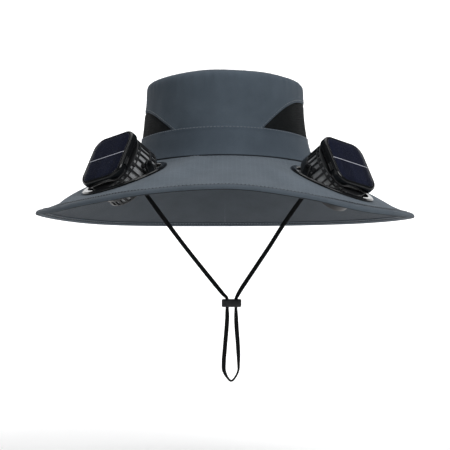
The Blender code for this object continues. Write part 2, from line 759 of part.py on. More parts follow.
def make_cord(looks):
    """The chin cord from tab to tab through its slider, whose two holes it fits."""
    route = smooth_route([Vector((x * MM, 0, z * MM)) for x, z in CORD_ROUTE])
    points = [route[0]]
    for point in route:
        near_slider = abs(point.z - SLIDER_PLACE.z) < 3 * SLIDER_HEIGHT / 2
        bending = near_slider or point.z < CORD_LOOP_HEIGHT or point.z > CORD_END_HEIGHT
        step = CORD_BEND_STEP if bending else CORD_STEP
        if (point - points[-1]).length >= step:
            points.append(point)
    if (points[-1] - route[-1]).length < CORD_WIDTH:
        points.pop()
    points.append(route[-1])
    curve = bpy.data.curves.new("chin_cord", "CURVE")
    curve.dimensions = "3D"
    curve.bevel_depth = CORD_WIDTH / 2
    curve.bevel_resolution = 2
    curve.use_fill_caps = True
    spline = curve.splines.new("POLY")
    spline.points.add(len(points) - 1)
    for target, point in zip(spline.points, points):
        target.co = (*point, 1.0)
    curve.materials.append(looks["cord"])
    bpy.context.collection.objects.link(bpy.data.objects.new("chin_cord", curve))

    half = SLIDER_HEIGHT / 2
    rings = [rounded_rectangle(SLIDER_LENGTH / 2, SLIDER_DEPTH / 2, SLIDER_CORNER, z, 3)
             for z in (-half, half)]
    body = skin(rings, caps=True)
    place = empty("slider_frame", Matrix.Translation(SLIDER_PLACE))
    slider = part("cord_slider", body, looks["plastic"], place)
    for end in (-1, 1):
        hole = cylinder(CORD_WIDTH / 2 + GAP, -2 * half, 2 * half, BORE_SEGMENTS)
        hole.transform(Matrix.Translation((end * SLIDER_HOLE_SPACING / 2, 0, 0)))
        label = "slider_hole_left" if end < 0 else "slider_hole_right"
        combine(slider, cutter(label, hole, place), "DIFFERENCE")


def build():
    """The whole hat."""
    for old in list(bpy.data.objects):
        bpy.data.objects.remove(old, do_unlink=True)
    looks = {
        "cloth": material("navy_cloth", (0.075, 0.098, 0.124), 0.85),
        "band": material("band_cloth", (0.060, 0.078, 0.098), 0.85),
        "binding": material("binding_cloth", (0.062, 0.080, 0.098), 0.8),
        "mesh": material("black_mesh", (0.010, 0.012, 0.014), 0.9),
        "gloss": material("gloss_black", (0.006, 0.007, 0.008), 0.15),
        "plastic": material("black_plastic", (0.010, 0.011, 0.012), 0.4),
        "cell": material("solar_blue", (0.010, 0.012, 0.026), 0.2),
        "metal": material("motor_steel", (0.45, 0.46, 0.48), 0.35, 1.0),
        "cord": material("black_cord", (0.014, 0.015, 0.016), 0.9),
    }
    make_crown(looks)
    make_brim(looks)
    make_fan_units(looks)
    make_cord(looks)


build()
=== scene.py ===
"""Looks of a sun hat with two solar fan units in its brim, for Blender 4.5, in metres.

The hat faces -Y with +Z up, and its origin is the middle of the head opening. The sections
follow the order in which the hat is put together. An azimuth is an angle round the hat, zero
at the front and positive towards +X.
"""
import json
import math

import bmesh
import bpy
from mathutils import Matrix, Vector, noise


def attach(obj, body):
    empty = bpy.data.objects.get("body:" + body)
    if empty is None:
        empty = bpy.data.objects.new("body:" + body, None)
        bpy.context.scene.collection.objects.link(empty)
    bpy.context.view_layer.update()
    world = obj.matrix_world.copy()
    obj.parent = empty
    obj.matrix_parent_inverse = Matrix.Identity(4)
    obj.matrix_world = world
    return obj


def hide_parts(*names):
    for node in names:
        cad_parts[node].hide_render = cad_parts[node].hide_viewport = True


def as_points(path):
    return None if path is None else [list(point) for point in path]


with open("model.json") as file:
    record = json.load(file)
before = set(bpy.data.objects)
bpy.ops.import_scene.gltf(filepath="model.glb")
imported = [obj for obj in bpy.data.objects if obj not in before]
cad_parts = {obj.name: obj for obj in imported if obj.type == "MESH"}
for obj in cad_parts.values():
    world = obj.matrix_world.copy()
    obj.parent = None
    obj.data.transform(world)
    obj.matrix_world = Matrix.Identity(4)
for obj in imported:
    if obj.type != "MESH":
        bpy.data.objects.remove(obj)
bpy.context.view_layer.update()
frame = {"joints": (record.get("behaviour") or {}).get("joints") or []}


# Camera: level, in front of the hat and below its crown, where it sees the brim's front edge
# from slightly below and the brim's upper side behind it.
CAMERA_DISTANCE = 1.2
CAMERA_HEIGHT = -0.064
CAMERA_LENS = 95.05

eye = bpy.data.cameras.new("front_view")
eye.lens = CAMERA_LENS
eye.sensor_width = 36
camera = bpy.data.objects.new("front_view", eye)
camera.location = (0, -CAMERA_DISTANCE, CAMERA_HEIGHT)
camera.rotation_euler = (math.pi / 2, 0, 0)
bpy.context.collection.objects.link(camera)
bpy.context.scene.camera = camera
bpy.context.scene.view_settings.view_transform = "Standard"


# Chin cord: a flat braid of black polyester, 4.4 mm wide, sewn under the brim on both sides and
# run twice through the slider, so that it ends in a loop. It twists a quarter turn on each leg.
MM = 0.001
CORD_WIDTH = 4.4 * MM
CORD_THICKNESS = 2.1 * MM
CORD_SIDES = 16
CORD_STEP = 1.2 * MM
CORD_ROUTE = (
    (-95.05, -11.95), (-93.0, -15.4), (-78.8, -34.2), (-61.2, -58.2),
    (-39.8, -86.6), (-17.3, -114.9), (-2.8, -132.6), (1.4, -136.9), (2.2, -139.4), (2.2, -142.8),
    (2.2, -149.0), (2.0, -162.0), (-0.2, -189.0), (-1.2, -202.0), (-0.5, -212.5),
    (6.2, -221.4), (12.9, -212.8), (13.7, -202.0), (13.0, -185.0), (11.6, -166.0),
    (11.0, -149.0), (11.0, -142.8), (11.0, -139.4), (12.0, -136.4), (17.0, -127.6), (31.1, -106.4),
    (45.2, -85.2), (59.6, -62.5), (77.4, -37.2), (93.0, -15.4), (95.0, -12.0),
)
# Share of the cord's length, and how far its width is turned there from front to back, in degrees
CORD_TURNS = (
    (0.00, 0), (0.03, 10), (0.10, 88), (0.28, 90), (0.33, 30), (0.345, 30), (0.38, 84), (0.46, 86),
    (0.50, 8), (0.53, -6), (0.58, -62), (0.63, -84), (0.665, -30), (0.68, -30), (0.72, -88),
    (0.91, -88), (0.97, -12), (1.00, 0),
)
PLAIT_PITCH = 1.6 * MM
# Points that lie closer than this are one
TOUCHING = 0.01 * MM


def between(rows, key, column=1):
    """A table's column at a key, on a smooth curve through its rows."""
    last = len(rows) - 1
    index = next((i for i in range(last) if key <= rows[i + 1][0]), last - 1)
    start, end = rows[index], rows[index + 1]
    span = end[0] - start[0]
    share = (key - start[0]) / span

    def slope(i):
        low, high = max(i - 1, 0), min(i + 1, last)
        return (rows[high][column] - rows[low][column]) / (rows[high][0] - rows[low][0])

    square, cube = share ** 2, share ** 3
    return ((2 * cube - 3 * square + 1) * start[column] + (cube - 2 * square + share) * span * slope(index)
            + (3 * square - 2 * cube) * end[column] + (cube - square) * span * slope(index + 1))


def curved(points, density=24):
    """Closely spaced points of a smooth curve through a route's points."""
    ends = [2 * points[0] - points[1]] + points + [2 * points[-1] - points[-2]]
    dense = []
    for before, start, end, after in zip(ends, ends[1:], ends[2:], ends[3:]):
        for part in range(density):
            t = part / density
            dense.append(0.5 * (2 * start + (end - before) * t
                                + (2 * before - 5 * start + 4 * end - after) * t ** 2
                                + (3 * start - before - 3 * end + after) * t ** 3))
    dense.append(points[-1])
    return dense


def evenly(points, step):
    """Points a set distance apart on a line of close points, and the line's length."""
    spots, walked, wanted = [points[0]], 0.0, step
    for near, far in zip(points, points[1:]):
        stretch = (far - near).length
        while stretch and walked + stretch >= wanted:
            spots.append(near.lerp(far, (wanted - walked) / stretch))
            wanted += step
        walked += stretch
    if (spots[-1] - points[-1]).length > step / 3:
        spots.append(points[-1])
    return spots, walked


def finish(name, color, roughness, **sockets):
    """A Principled finish, whose constants sit on the shader's own sockets."""
    made = bpy.data.materials.new(name)
    made.use_nodes = True
    shader = made.node_tree.nodes["Principled BSDF"]
    shader.inputs["Base Color"].default_value = (*color, 1)
    shader.inputs["Roughness"].default_value = roughness
    for label, value in sockets.items():
        shader.inputs[label.replace("_", " ")].default_value = value
    return made


def step(made, kind, sources, output=0, **settings):
    """A node fed with constants or with other nodes' outputs, and its output."""
    tree = made.node_tree
    node = tree.nodes.new("ShaderNode" + kind)
    for label, value in settings.items():
        setattr(node, label, value)
    for label, source in sources.items():
        if isinstance(source, bpy.types.NodeSocket):
            tree.links.new(source, node.inputs[label])
        else:
            node.inputs[label].default_value = source
    return node.outputs[output]


def maths(made, operation, first, second=0.5):
    """One sum of two values."""
    return step(made, "Math", {0: first, 1: second}, operation=operation)


def on_cloth(made):
    """The place on a piece's own chart."""
    return step(made, "UVMap", {}, uv_map="cloth")


def in_space(made):
    """The place in the hat's own space, in metres."""
    return step(made, "TexCoord", {}, 3)


def speckle(made, place, scale, detail=2, **more):
    """Soft random patches."""
    return step(made, "TexNoise", {"Vector": place, "Scale": scale, "Detail": detail, **more})


def ranged(made, value, low, high, least, most, **settings):
    """What lies between two bounds, spread between two others."""
    return step(made, "MapRange", {0: value, 1: low, 2: high, 3: least, 4: most}, **settings)


def tinted(made, share, low, high):
    """A colour between two, by a share."""
    sources = {0: share, 6: (*low, 1), 7: (*high, 1)}
    return step(made, "Mix", sources, 2, data_type="RGBA")


def bands(made, chart, pitch, direction, **settings):
    """Smooth stripes of a pitch in metres, across a direction of the chart."""
    return step(made, "TexWave", {"Vector": chart, "Scale": math.pi / (10 * pitch)}, 1,
                bands_direction=direction, **settings)


def feed(made, **links):
    """Join outputs to the shader's sockets."""
    shader = made.node_tree.nodes["Principled BSDF"]
    for label, source in links.items():
        made.node_tree.links.new(source, shader.inputs[label.replace("_", " ")])


def raised(made, height, depth, strength=1.0):
    """Bump of a real depth."""
    feed(made, Normal=step(made, "Bump", {"Height": height, "Distance": depth, "Strength": strength}))


def fitted(name, mesh, looks, body, stands_for=(), sharp=180):
    """A finished piece in its place, which moves with its body."""
    data = bpy.data.meshes.new(name)
    mesh.to_mesh(data)
    mesh.free()
    data.shade_smooth()
    if sharp < 180:
        data.set_sharp_from_angle(angle=math.radians(sharp))
    for look in looks:
        data.materials.append(look)
    made = bpy.data.objects.new(name, data)
    bpy.context.collection.objects.link(made)
    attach(made, body)
    if stands_for:
        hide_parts(*stands_for)
    return made


def charted(mesh, place, faces=None):
    """Give each corner its place on the chart, by its point."""
    chart = mesh.loops.layers.uv.get("cloth") or mesh.loops.layers.uv.new("cloth")
    for face in faces or mesh.faces:
        for corner in face.loops:
            corner[chart].uv = place(corner.vert.co)


def merged(mesh, verts=None, within=TOUCHING):
    """Make touching points one."""
    bmesh.ops.remove_doubles(mesh, verts=verts or mesh.verts, dist=within)


def outwards(mesh, faces=None):
    """Turn the faces of a closed shape to point out of it."""
    bmesh.ops.recalc_face_normals(mesh, faces=faces or mesh.faces)


def braid_finish():
    """Black braid: slanting plaits that meet in the middle of the flat side."""
    made = finish("braided_cord", (0.014, 0.015, 0.016), 0.8, Specular_IOR_Level=0.12)
    chart = on_cloth(made)
    across, along = (step(made, "SeparateXYZ", {0: chart}, output) for output in (0, 1))
    folded = maths(made, "PINGPONG", across, CORD_WIDTH / 2)
    slant = maths(made, "ADD", along, folded)
    plaits = maths(made, "SINE", maths(made, "MULTIPLY", slant, 2 * math.pi / PLAIT_PITCH), 0)
    mottle = speckle(made, chart, 900)
    share = maths(made, "MULTIPLY", maths(made, "ADD", maths(made, "MULTIPLY", plaits, 0.35), 0.5), mottle)
    feed(made, Base_Color=tinted(made, share, (0.006, 0.0065, 0.007), (0.028, 0.029, 0.031)))
    raised(made, plaits, 0.25 * MM, 0.8)
    return made


cord_points, cord_length = evenly(curved([Vector((x * MM, 0, z * MM)) for x, z in CORD_ROUTE]), CORD_STEP)
cord_rows = len(cord_points) - 1
braid = bmesh.new()
bmesh.ops.create_grid(braid, x_segments=CORD_SIDES, y_segments=cord_rows, size=0.5)
charted(braid, lambda spot: ((spot.x + 0.5) * 2 * CORD_WIDTH, (spot.y + 0.5) * cord_length))
for vert in braid.verts:
    row = round((vert.co.y + 0.5) * cord_rows)
    angle = 2 * math.pi * (vert.co.x + 0.5)
    ahead = (cord_points[min(row + 1, cord_rows)] - cord_points[max(row - 1, 0)]).normalized()
    turn = math.radians(between(CORD_TURNS, row / cord_rows))
    flat = Matrix.Rotation(turn, 3, ahead) @ Vector((0, 1, 0))
    bulge = abs(math.sin(angle)) ** 0.6 * math.copysign(1, math.sin(angle))
    vert.co = (cord_points[row] + flat * (CORD_WIDTH / 2 * math.cos(angle))
               + flat.cross(ahead) * (CORD_THICKNESS / 2 * bulge))
merged(braid)
bmesh.ops.holes_fill(braid, edges=braid.edges, sides=CORD_SIDES)
outwards(braid)
chin_cord = fitted("braided_chin_cord", braid, [braid_finish()], "hat", ["chin_cord"])


# Cord slider: a moulded bar of satin black plastic, thicker at its two round ends, where the
# cord runs through it in two upright holes. Its middle is waisted for the fingers.
SLIDER_PLACE = Vector((6.6 * MM, 0, -142.8 * MM))
SLIDER_LENGTH = 20 * MM
SLIDER_DEPTH = 9 * MM
SLIDER_HEIGHT = 8 * MM
SLIDER_HOLES = 8.8 * MM
SLIDER_PLAY = 0.2 * MM
SLIDER_ROUND = 1.3 * MM
SLIDER_WAIST = 0.16


def softened(mesh, width, segments=2, above=30):
    """Rounded edges where two faces meet at more than an angle."""
    sharp = [edge for edge in mesh.edges if len(edge.link_faces) == 2
             and edge.calc_face_angle(0) > math.radians(above)]
    bmesh.ops.bevel(mesh, geom=sharp, offset=width, offset_type="OFFSET", segments=segments,
                    profile=0.5, affect="EDGES", material=-1, clamp_overlap=True)


def turned(mesh, profile, steps):
    """A wall turned about Z from a closed line of radius and height."""
    verts = [mesh.verts.new((radius, 0, height)) for radius, height in profile]
    edges = [mesh.edges.new(pair) for pair in zip(verts, verts[1:] + verts[:1])]
    bmesh.ops.spin(mesh, geom=verts + edges, cent=(0, 0, 0), axis=(0, 0, 1), angle=2 * math.pi,
                   steps=steps, use_merge=True)


def verts_in(made):
    """The points among what an operator made."""
    return [item for item in made["geom"] if isinstance(item, bmesh.types.BMVert)]


def thickened(mesh, height):
    """Draw a flat outline up along Z into a closed slab."""
    drawn = bmesh.ops.extrude_face_region(mesh, geom=mesh.faces[:])
    bmesh.ops.translate(mesh, verts=verts_in(drawn), vec=(0, 0, height))
    outwards(mesh)


def rod(mesh, sides, radius, length, place, foot=None):
    """Add a closed round bar along Z, whose foot may have its own radius."""
    bmesh.ops.create_cone(mesh, cap_ends=True, segments=sides, radius1=foot or radius, radius2=radius,
                          depth=length, matrix=place)


def cut_out(target, tool_mesh):
    """Cut a shape out of a finished piece."""
    data = bpy.data.meshes.new("tool")
    tool_mesh.to_mesh(data)
    tool_mesh.free()
    tool = bpy.data.objects.new("tool", data)
    bpy.context.collection.objects.link(tool)
    cut = target.modifiers.new("cut", "BOOLEAN")
    cut.operation = "DIFFERENCE"
    cut.object = tool
    graph = bpy.context.evaluated_depsgraph_get()
    result = bpy.data.meshes.new_from_object(target.evaluated_get(graph))
    target.modifiers.remove(cut)
    target.data = result
    bpy.data.objects.remove(tool)
    bpy.data.meshes.remove(data)


def satin_finish(name):
    """Satin black moulding with a fine spark-eroded grain."""
    made = finish(name, (0.011, 0.012, 0.013), 0.42, Specular_IOR_Level=0.5)
    place = in_space(made)
    grain = speckle(made, place, 2600)
    smears = speckle(made, place, 60, 4)
    feed(made, Base_Color=tinted(made, smears, (0.008, 0.009, 0.010), (0.017, 0.018, 0.020)),
         Roughness=ranged(made, smears, 0.3, 0.7, 0.34, 0.52))
    raised(made, grain, 0.04 * MM, 0.5)
    return made


satin_black = satin_finish("satin_black_plastic")
bar = bmesh.new()
bmesh.ops.create_circle(bar, cap_ends=True, segments=48, radius=1)
for vert in bar.verts:
    across, deep = vert.co.x, vert.co.y
    waist = 1 - SLIDER_WAIST * math.exp(-(across / 0.3) ** 2)
    vert.co = ((SLIDER_LENGTH / 2) * math.copysign(abs(across) ** 0.75, across),
               SLIDER_DEPTH / 2 * math.copysign(abs(deep) ** 0.62, deep) * waist, -SLIDER_HEIGHT / 2)
thickened(bar, SLIDER_HEIGHT)
softened(bar, SLIDER_ROUND, 4, 50)
bmesh.ops.translate(bar, verts=bar.verts, vec=SLIDER_PLACE)
slider = fitted("moulded_cord_slider", bar, [satin_black], "hat", ["cord_slider"], 40)
for end in (-1, 1):
    hole = bmesh.new()
    hole_place = Matrix.Translation(SLIDER_PLACE + Vector((end * SLIDER_HOLES / 2, 0, 0)))
    rod(hole, 32, CORD_WIDTH / 2 + SLIDER_PLAY, 2 * SLIDER_HEIGHT, hole_place)
    cut_out(slider, hole)
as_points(cord_points)


# Crown wall: one strip of slate polyester, closed at the back, whose sides are cut away in an
# arch for the mesh. The cut edge is turned in and topstitched, and the cloth sags in soft folds.
CROWN_HALF_WIDTH = 93 * MM
CROWN_HALF_DEPTH = 106 * MM
CROWN_HEIGHT = 81 * MM
CROWN_SIDE_DIP = 4 * MM
SEAM_SIDE_DIP = 6 * MM
CLOTH_GAP = 0.3 * MM
WALL_INSET = 1.8 * MM
WALL_CLOTH = 2 * MM
WALL_COLUMNS = 432
WALL_ROWS = 44
LOWER_ROWS = 5
BAND_HEIGHT = 28.6 * MM
SILL_HEIGHT = 16 * MM
VENT_RISE = {-1: 32 * MM, 1: 40 * MM}
VENT_REACH = {-1: 90 * MM, 1: 96 * MM}
VENT_FULLNESS = {-1: 3.0, 1: 5.0}
VENT_ALONG = 0.945
HEM_WIDTH = 5 * MM
HEM_RISE = 0.25 * MM
CROWN_SAG = 1.5 * MM
CROWN_CREASE = 0.5 * MM
CROWN_PUCKER = 0.55 * MM
PUCKERS_ROUND = 46
THREAD_PITCH = 0.7 * MM
CREASE_SHADE = (0.014, 0.018, 0.023)
CROWN_LENGTH = 2 * math.pi * math.sqrt((CROWN_HALF_WIDTH ** 2 + CROWN_HALF_DEPTH ** 2) / 2)
# Share of the crown's height, of its half width and of its half depth
CROWN_SECTIONS = (
    (0.000, 1.000, 1.000), (0.100, 0.964, 0.980), (0.310, 0.907, 0.953), (0.620, 0.875, 0.930),
    (0.900, 0.865, 0.919), (0.960, 0.852, 0.908), (1.000, 0.820, 0.880),
)


def oval(azimuth, half_width, half_depth, inset=0.0):
    """A point of an upright oval, moved inwards at right angles to it."""
    outward = Vector((math.sin(azimuth) / half_width, -math.cos(azimuth) / half_depth, 0)).normalized()
    return Vector((half_width * math.sin(azimuth), -half_depth * math.cos(azimuth), 0)) - inset * outward


def seam_height(azimuth):
    """Height of the seam between crown and brim."""
    return -SEAM_SIDE_DIP * math.sin(azimuth) ** 2


def rim_height(azimuth):
    """Height of the crown wall's upper edge."""
    return CROWN_HEIGHT - CROWN_SIDE_DIP * math.sin(azimuth) ** 2


def wall_line(azimuth):
    """Height where the crown's cloth starts: the arch over a mesh vent, or the band's cover."""
    side = 1 if math.sin(azimuth) > 0 else -1
    along = CROWN_HALF_DEPTH * VENT_ALONG * math.cos(azimuth)
    share = min(abs(along) / VENT_REACH[side], 1)
    return SILL_HEIGHT + VENT_RISE[side] * (1 - share ** VENT_FULLNESS[side])


def by_seam(away, reach, start):
    """How strongly a seam puckers the cloth, which starts just off the seam and fades away from it."""
    return math.exp(-(away / reach)) * (1 - math.exp(-(away / start)))


def crown_fold(azimuth, share):
    """How far the cloth stands out from its plain shape: broad sags, and puckers at the top seam."""
    around = Vector((math.sin(azimuth), math.cos(azimuth), 0))
    broad = noise.noise(around * 1.7 + Vector((0, 0, share * 1.8)))
    small = noise.noise(around * 7 + Vector((3, 0, share * 3)))
    body = math.sin(math.pi * min(max((share - 0.12) / 0.86, 0), 1))
    ripple = math.sin(azimuth * PUCKERS_ROUND + 5 * noise.noise(around * 4))
    pucker = CROWN_PUCKER * ripple * by_seam(1 - share, 0.09, 0.012)
    return (CROWN_SAG * broad + CROWN_CREASE * small) * body + pucker


def crown_spot(azimuth, height, inset=0.0):
    """A point of the crown's outer side at a height."""
    foot = seam_height(azimuth) + CLOTH_GAP
    share = min(max((height - foot) / (rim_height(azimuth) - foot), 0), 1)
    width = CROWN_HALF_WIDTH * between(CROWN_SECTIONS, share, 1)
    depth = CROWN_HALF_DEPTH * between(CROWN_SECTIONS, share, 2)
    spot = oval(azimuth, width, depth, inset - crown_fold(azimuth, share))
    spot.z = height
    return spot


def laid(mesh, columns, rows, place, size, flip=False):
    """Cloth laid on the surface that place(around, up) gives, with its own lengths as its chart."""
    before = set(mesh.verts)
    bmesh.ops.create_grid(mesh, x_segments=columns, y_segments=rows, size=0.5)
    new = [vert for vert in mesh.verts if vert not in before]
    faces = list({face for vert in new for face in vert.link_faces})
    charted(mesh, lambda spot: ((spot.x + 0.5) * size[0], (spot.y + 0.5) * size[1]), faces)
    for vert in new:
        vert.co = place(vert.co.x + 0.5, vert.co.y + 0.5)
    if flip:
        bmesh.ops.reverse_faces(mesh, faces=faces)
    merged(mesh, new)


def backed(piece, thickness):
    """The cloth's own thickness, behind its shown side."""
    wall = piece.modifiers.new("thickness", "SOLIDIFY")
    wall.thickness = thickness
    wall.offset = -1
    return piece


def woven_finish(name, dark, light, thread, ripstop=0.0, sheen=0.04):
    """Plain weave of a thread pitch, mottled, with a square of thicker threads if it is ripstop."""
    made = finish(name, light, 0.82, Sheen_Weight=sheen, Sheen_Roughness=0.45, Specular_IOR_Level=0.15)
    chart = on_cloth(made)
    weave = maths(made, "ADD", bands(made, chart, thread, "X"), bands(made, chart, thread, "Y"))
    mottle = speckle(made, in_space(made), 38, 5, Roughness=0.6)
    slubs = speckle(made, chart, 1400, 1)
    share = maths(made, "ADD", maths(made, "MULTIPLY", mottle, 0.5), maths(made, "MULTIPLY", slubs, 0.5))
    height = maths(made, "MULTIPLY", weave, 0.5)
    if ripstop:
        ribs = maths(made, "MAXIMUM", bands(made, chart, ripstop, "X"), bands(made, chart, ripstop, "Y"))
        ribs = maths(made, "POWER", ribs, 14)
        share = maths(made, "ADD", share, maths(made, "MULTIPLY", ribs, 0.10))
        height = maths(made, "ADD", height, maths(made, "MULTIPLY", ribs, 0.6))
    feed(made, Base_Color=tinted(made, ranged(made, share, 0.22, 0.8, 0, 1), dark, light))
    raised(made, height, 0.16 * MM, 0.55)
    return made


def painted_shade_lines(made, rows):
    """Dark lines of painted shade along the cloth, where its creases, lips and stitches would be shaded: each
    line's distance across the chart, and where it is full and gone.
    """
    over = step(made, "SeparateXYZ", {0: on_cloth(made)}, 1)
    depth = maths(made, "MULTIPLY", over, 0)
    for row, full, faded in rows:
        away = maths(made, "ABSOLUTE", maths(made, "SUBTRACT", over, row * MM), 0)
        line = ranged(made, away, full * MM, faded * MM, 1, 0, interpolation_type="SMOOTHSTEP")
        depth = maths(made, "MAXIMUM", depth, line)
    woven = made.node_tree.nodes["Principled BSDF"].inputs["Base Color"].links[0].from_socket
    feed(made, Base_Color=step(made, "Mix", {0: depth, 6: woven, 7: (*CREASE_SHADE, 1)}, 2, data_type="RGBA"))
    return made


def upper_wall(around, up):
    """The wall's cloth above the arches, rolled in at its top seam."""
    azimuth = 2 * math.pi * around
    line, top = wall_line(azimuth), rim_height(azimuth)
    up = up ** 0.9
    height = line + up * (top - line)
    from_edge = height - line
    arched = min((line - SILL_HEIGHT) / (4 * MM), 1)
    hem = HEM_RISE * arched * (1 if from_edge < HEM_WIDTH else 0)
    roll = max((up - 0.965) / 0.035, 0)
    return crown_spot(azimuth, height, WALL_INSET - hem + 1.5 * MM * roll ** 2)


def lower_wall(around, up):
    """The wall's cloth behind the band."""
    azimuth = 2 * math.pi * around
    foot = seam_height(azimuth) + CLOTH_GAP
    return crown_spot(azimuth, foot + up * (SILL_HEIGHT - foot), WALL_INSET)


slate_cloth = woven_finish("slate_polyester", (0.052, 0.068, 0.086), (0.104, 0.132, 0.162), THREAD_PITCH)
wall = bmesh.new()
laid(wall, WALL_COLUMNS, WALL_ROWS, upper_wall, (CROWN_LENGTH, CROWN_HEIGHT - SILL_HEIGHT))
laid(wall, WALL_COLUMNS, LOWER_ROWS, lower_wall, (CROWN_LENGTH, SILL_HEIGHT))
merged(wall, within=2 * TOUCHING)
backed(fitted("crown_wall_cloth", wall, [slate_cloth], "hat", ["crown_wall"]), WALL_CLOTH)


# Crown top: an oval of the same cloth, sewn to the wall a little below its edge and pushed up
# into a low dome. Its rim dips into the seam and a row of stitches holds it down.
TOP_DOME = 7 * MM
TOP_SAG = 0.9 * MM
TOP_PUCKER = 0.35 * MM
TOP_RIM_INSET = 2.6 * MM
TOP_SEAM_DEPTH = 1.6 * MM
TOP_CLOTH = 1.6 * MM
TOP_ROWS = 36


def top_spot(around, up):
    """A point of the top panel, from its rim at 0 to its middle at 1."""
    azimuth = 2 * math.pi * around
    edge = oval(azimuth, CROWN_HALF_WIDTH * 0.82, CROWN_HALF_DEPTH * 0.88, TOP_RIM_INSET)
    share = 1 - up
    around_unit = Vector((edge.x, edge.y, 0)) * (share / CROWN_HALF_DEPTH)
    rim = CROWN_HEIGHT - CROWN_SIDE_DIP * math.sin(azimuth) ** 2 * share ** 2
    dome = TOP_DOME * (1 - share ** 2.2)
    seam = TOP_SEAM_DEPTH * math.exp(-((1 - share) / 0.028))
    sag = TOP_SAG * noise.noise(around_unit * 2.6) * (1 - share ** 6)
    ripple = TOP_PUCKER * math.sin(azimuth * PUCKERS_ROUND + 2) * by_seam(1 - share, 0.07, 0.01)
    return Vector((edge.x * share, edge.y * share, rim + dome - seam + sag + ripple))


top = bmesh.new()
laid(top, WALL_COLUMNS, TOP_ROWS, top_spot, (CROWN_LENGTH * 0.85, CROWN_HALF_WIDTH * 0.85))
charted(top, lambda spot: spot.xy)
backed(fitted("crown_top_cloth", top, [slate_cloth], "hat", ["crown_top"]), TOP_CLOTH)


# Mesh vents: black knitted net, whose holes show the dark inside of the crown. Each lies behind
# its window and is caught under the arch's hem, the band and the cloth at both ends.
VENT_INSET = 2.2 * MM
VENT_PUFF = 0.8 * MM
VENT_PUFF_REACH = 4 * MM
VENT_YARN = 0.56 * MM
VENT_CELL = 1.75 * MM
VENT_TUCK = 4 * MM
SIDES = (("left", -1), ("right", 1))

vent_yarn = finish("black_net", (0.006, 0.007, 0.008), 0.8, Specular_IOR_Level=0.12)
vent_mottle = speckle(vent_yarn, in_space(vent_yarn), 700, 3)
feed(vent_yarn, Base_Color=tinted(vent_yarn, vent_mottle, (0.002, 0.0026, 0.003), (0.010, 0.012, 0.013)))
raised(vent_yarn, vent_mottle, 0.15 * MM, 0.7)
for name, side in SIDES:
    ends = math.acos(min(VENT_REACH[side] / (CROWN_HALF_DEPTH * VENT_ALONG), 0.985))
    half_turn = math.pi / 2 - ends + VENT_TUCK / CROWN_HALF_DEPTH
    middle = side * math.pi / 2

    def vent_spot(along, up, middle=middle, half_turn=half_turn):
        """A point of the net, which reaches past its window all round."""
        azimuth = middle + half_turn * (2 * along - 1)
        low = SILL_HEIGHT - VENT_TUCK
        height = low + up * (wall_line(azimuth) + VENT_TUCK - low)
        above_band = height - seam_height(azimuth) - BAND_HEIGHT + VENT_PUFF_REACH
        share = min(max(min(wall_line(azimuth) - height, above_band) / VENT_PUFF_REACH, 0), 1)
        return crown_spot(azimuth, height, VENT_INSET - VENT_PUFF * share * share * (3 - 2 * share))

    span = 2 * half_turn * CROWN_HALF_DEPTH * 0.92
    rise = VENT_RISE[side] + 2 * VENT_TUCK
    net = bmesh.new()
    laid(net, round(span / VENT_CELL), round(rise / VENT_CELL), vent_spot, (span, rise))
    holes = net.faces[:]
    bmesh.ops.inset_individual(net, faces=holes, thickness=VENT_YARN, use_even_offset=True)
    bmesh.ops.delete(net, geom=holes, context="FACES_ONLY")
    backed(fitted(name + "_vent_net", net, [vent_yarn], "hat", [name + "_mesh_vent"]), VENT_YARN)


# Hat band: a strip of the same cloth sewn into the brim seam, with its upper edge folded over
# and topstitched. It dips in a little where the head band pulls it.
BAND_CLOTH = 1.3 * MM
BAND_INSET = 0.9 * MM
BAND_FLARE = 0.9 * MM
BAND_ROWS = 26
# Across the band in mm: a line of painted shade along the brim seam, and where it is full and gone
BAND_SHADE_LINES = ((0.2, 0.5, 1.3),)

flat_band = woven_finish("band_polyester", (0.050, 0.065, 0.083), (0.098, 0.125, 0.155), THREAD_PITCH)
# Painted shade: a dark line along the band's foot at the brim seam.
band_cloth = painted_shade_lines(flat_band, BAND_SHADE_LINES)


def band_spot(around, up):
    """A point of the band: flared at the seam, rolled over at its upper edge."""
    azimuth = 2 * math.pi * around
    foot = seam_height(azimuth) + CLOTH_GAP
    height = foot + up * (BAND_HEIGHT - CLOTH_GAP)
    pull = noise.noise(Vector((math.sin(azimuth) * 2.4, math.cos(azimuth) * 2.4, 7)))
    dip = (0.25 + 0.4 * pull) * MM * math.sin(math.pi * min(up / 0.75, 1)) ** 2
    flare = BAND_FLARE * math.exp(-up / 0.07)
    fold = 0.25 * MM * math.exp(-((up - 0.93) / 0.04) ** 2)
    roll = 1.4 * MM * max((up - 0.97) / 0.03, 0) ** 2
    return crown_spot(azimuth, height, BAND_INSET + dip - flare - fold + roll)


band = bmesh.new()
laid(band, WALL_COLUMNS, BAND_ROWS, band_spot, (CROWN_LENGTH, BAND_HEIGHT))
backed(fitted("folded_hat_band", band, [band_cloth], "hat", ["hat_band"]), BAND_CLOTH)


# Brim: ripstop on top and plain cloth below, with the head opening in its middle and a round hole
# for each fan. It droops most at the back, waves down over the front, and lies flat at the rings.
BRIM_HALF_WIDTH = 186.5 * MM
BRIM_HALF_DEPTH = 203 * MM
BRIM_DROP = 62 * MM
BRIM_BOW = 3 * MM
BRIM_CLOTH = 2.2 * MM
BINDING_LIP = 5.5 * MM
HEAD_INSET = 3.8 * MM
BRIM_COLUMNS = 540
BRIM_ROWS_ACROSS = 48
RIM_LENGTH = 2 * math.pi * math.sqrt((BRIM_HALF_WIDTH ** 2 + BRIM_HALF_DEPTH ** 2) / 2)
# Azimuth in degrees, and the drop of the rim on each side as a share of BRIM_DROP
RIM_DROPS = (
    (0, 0.500, 0.500), (20, 0.560, 0.610), (40, 0.690, 0.785), (60, 0.800, 0.850),
    (90, 0.830, 0.875), (135, 0.975, 0.965), (180, 1.000, 1.000),
)
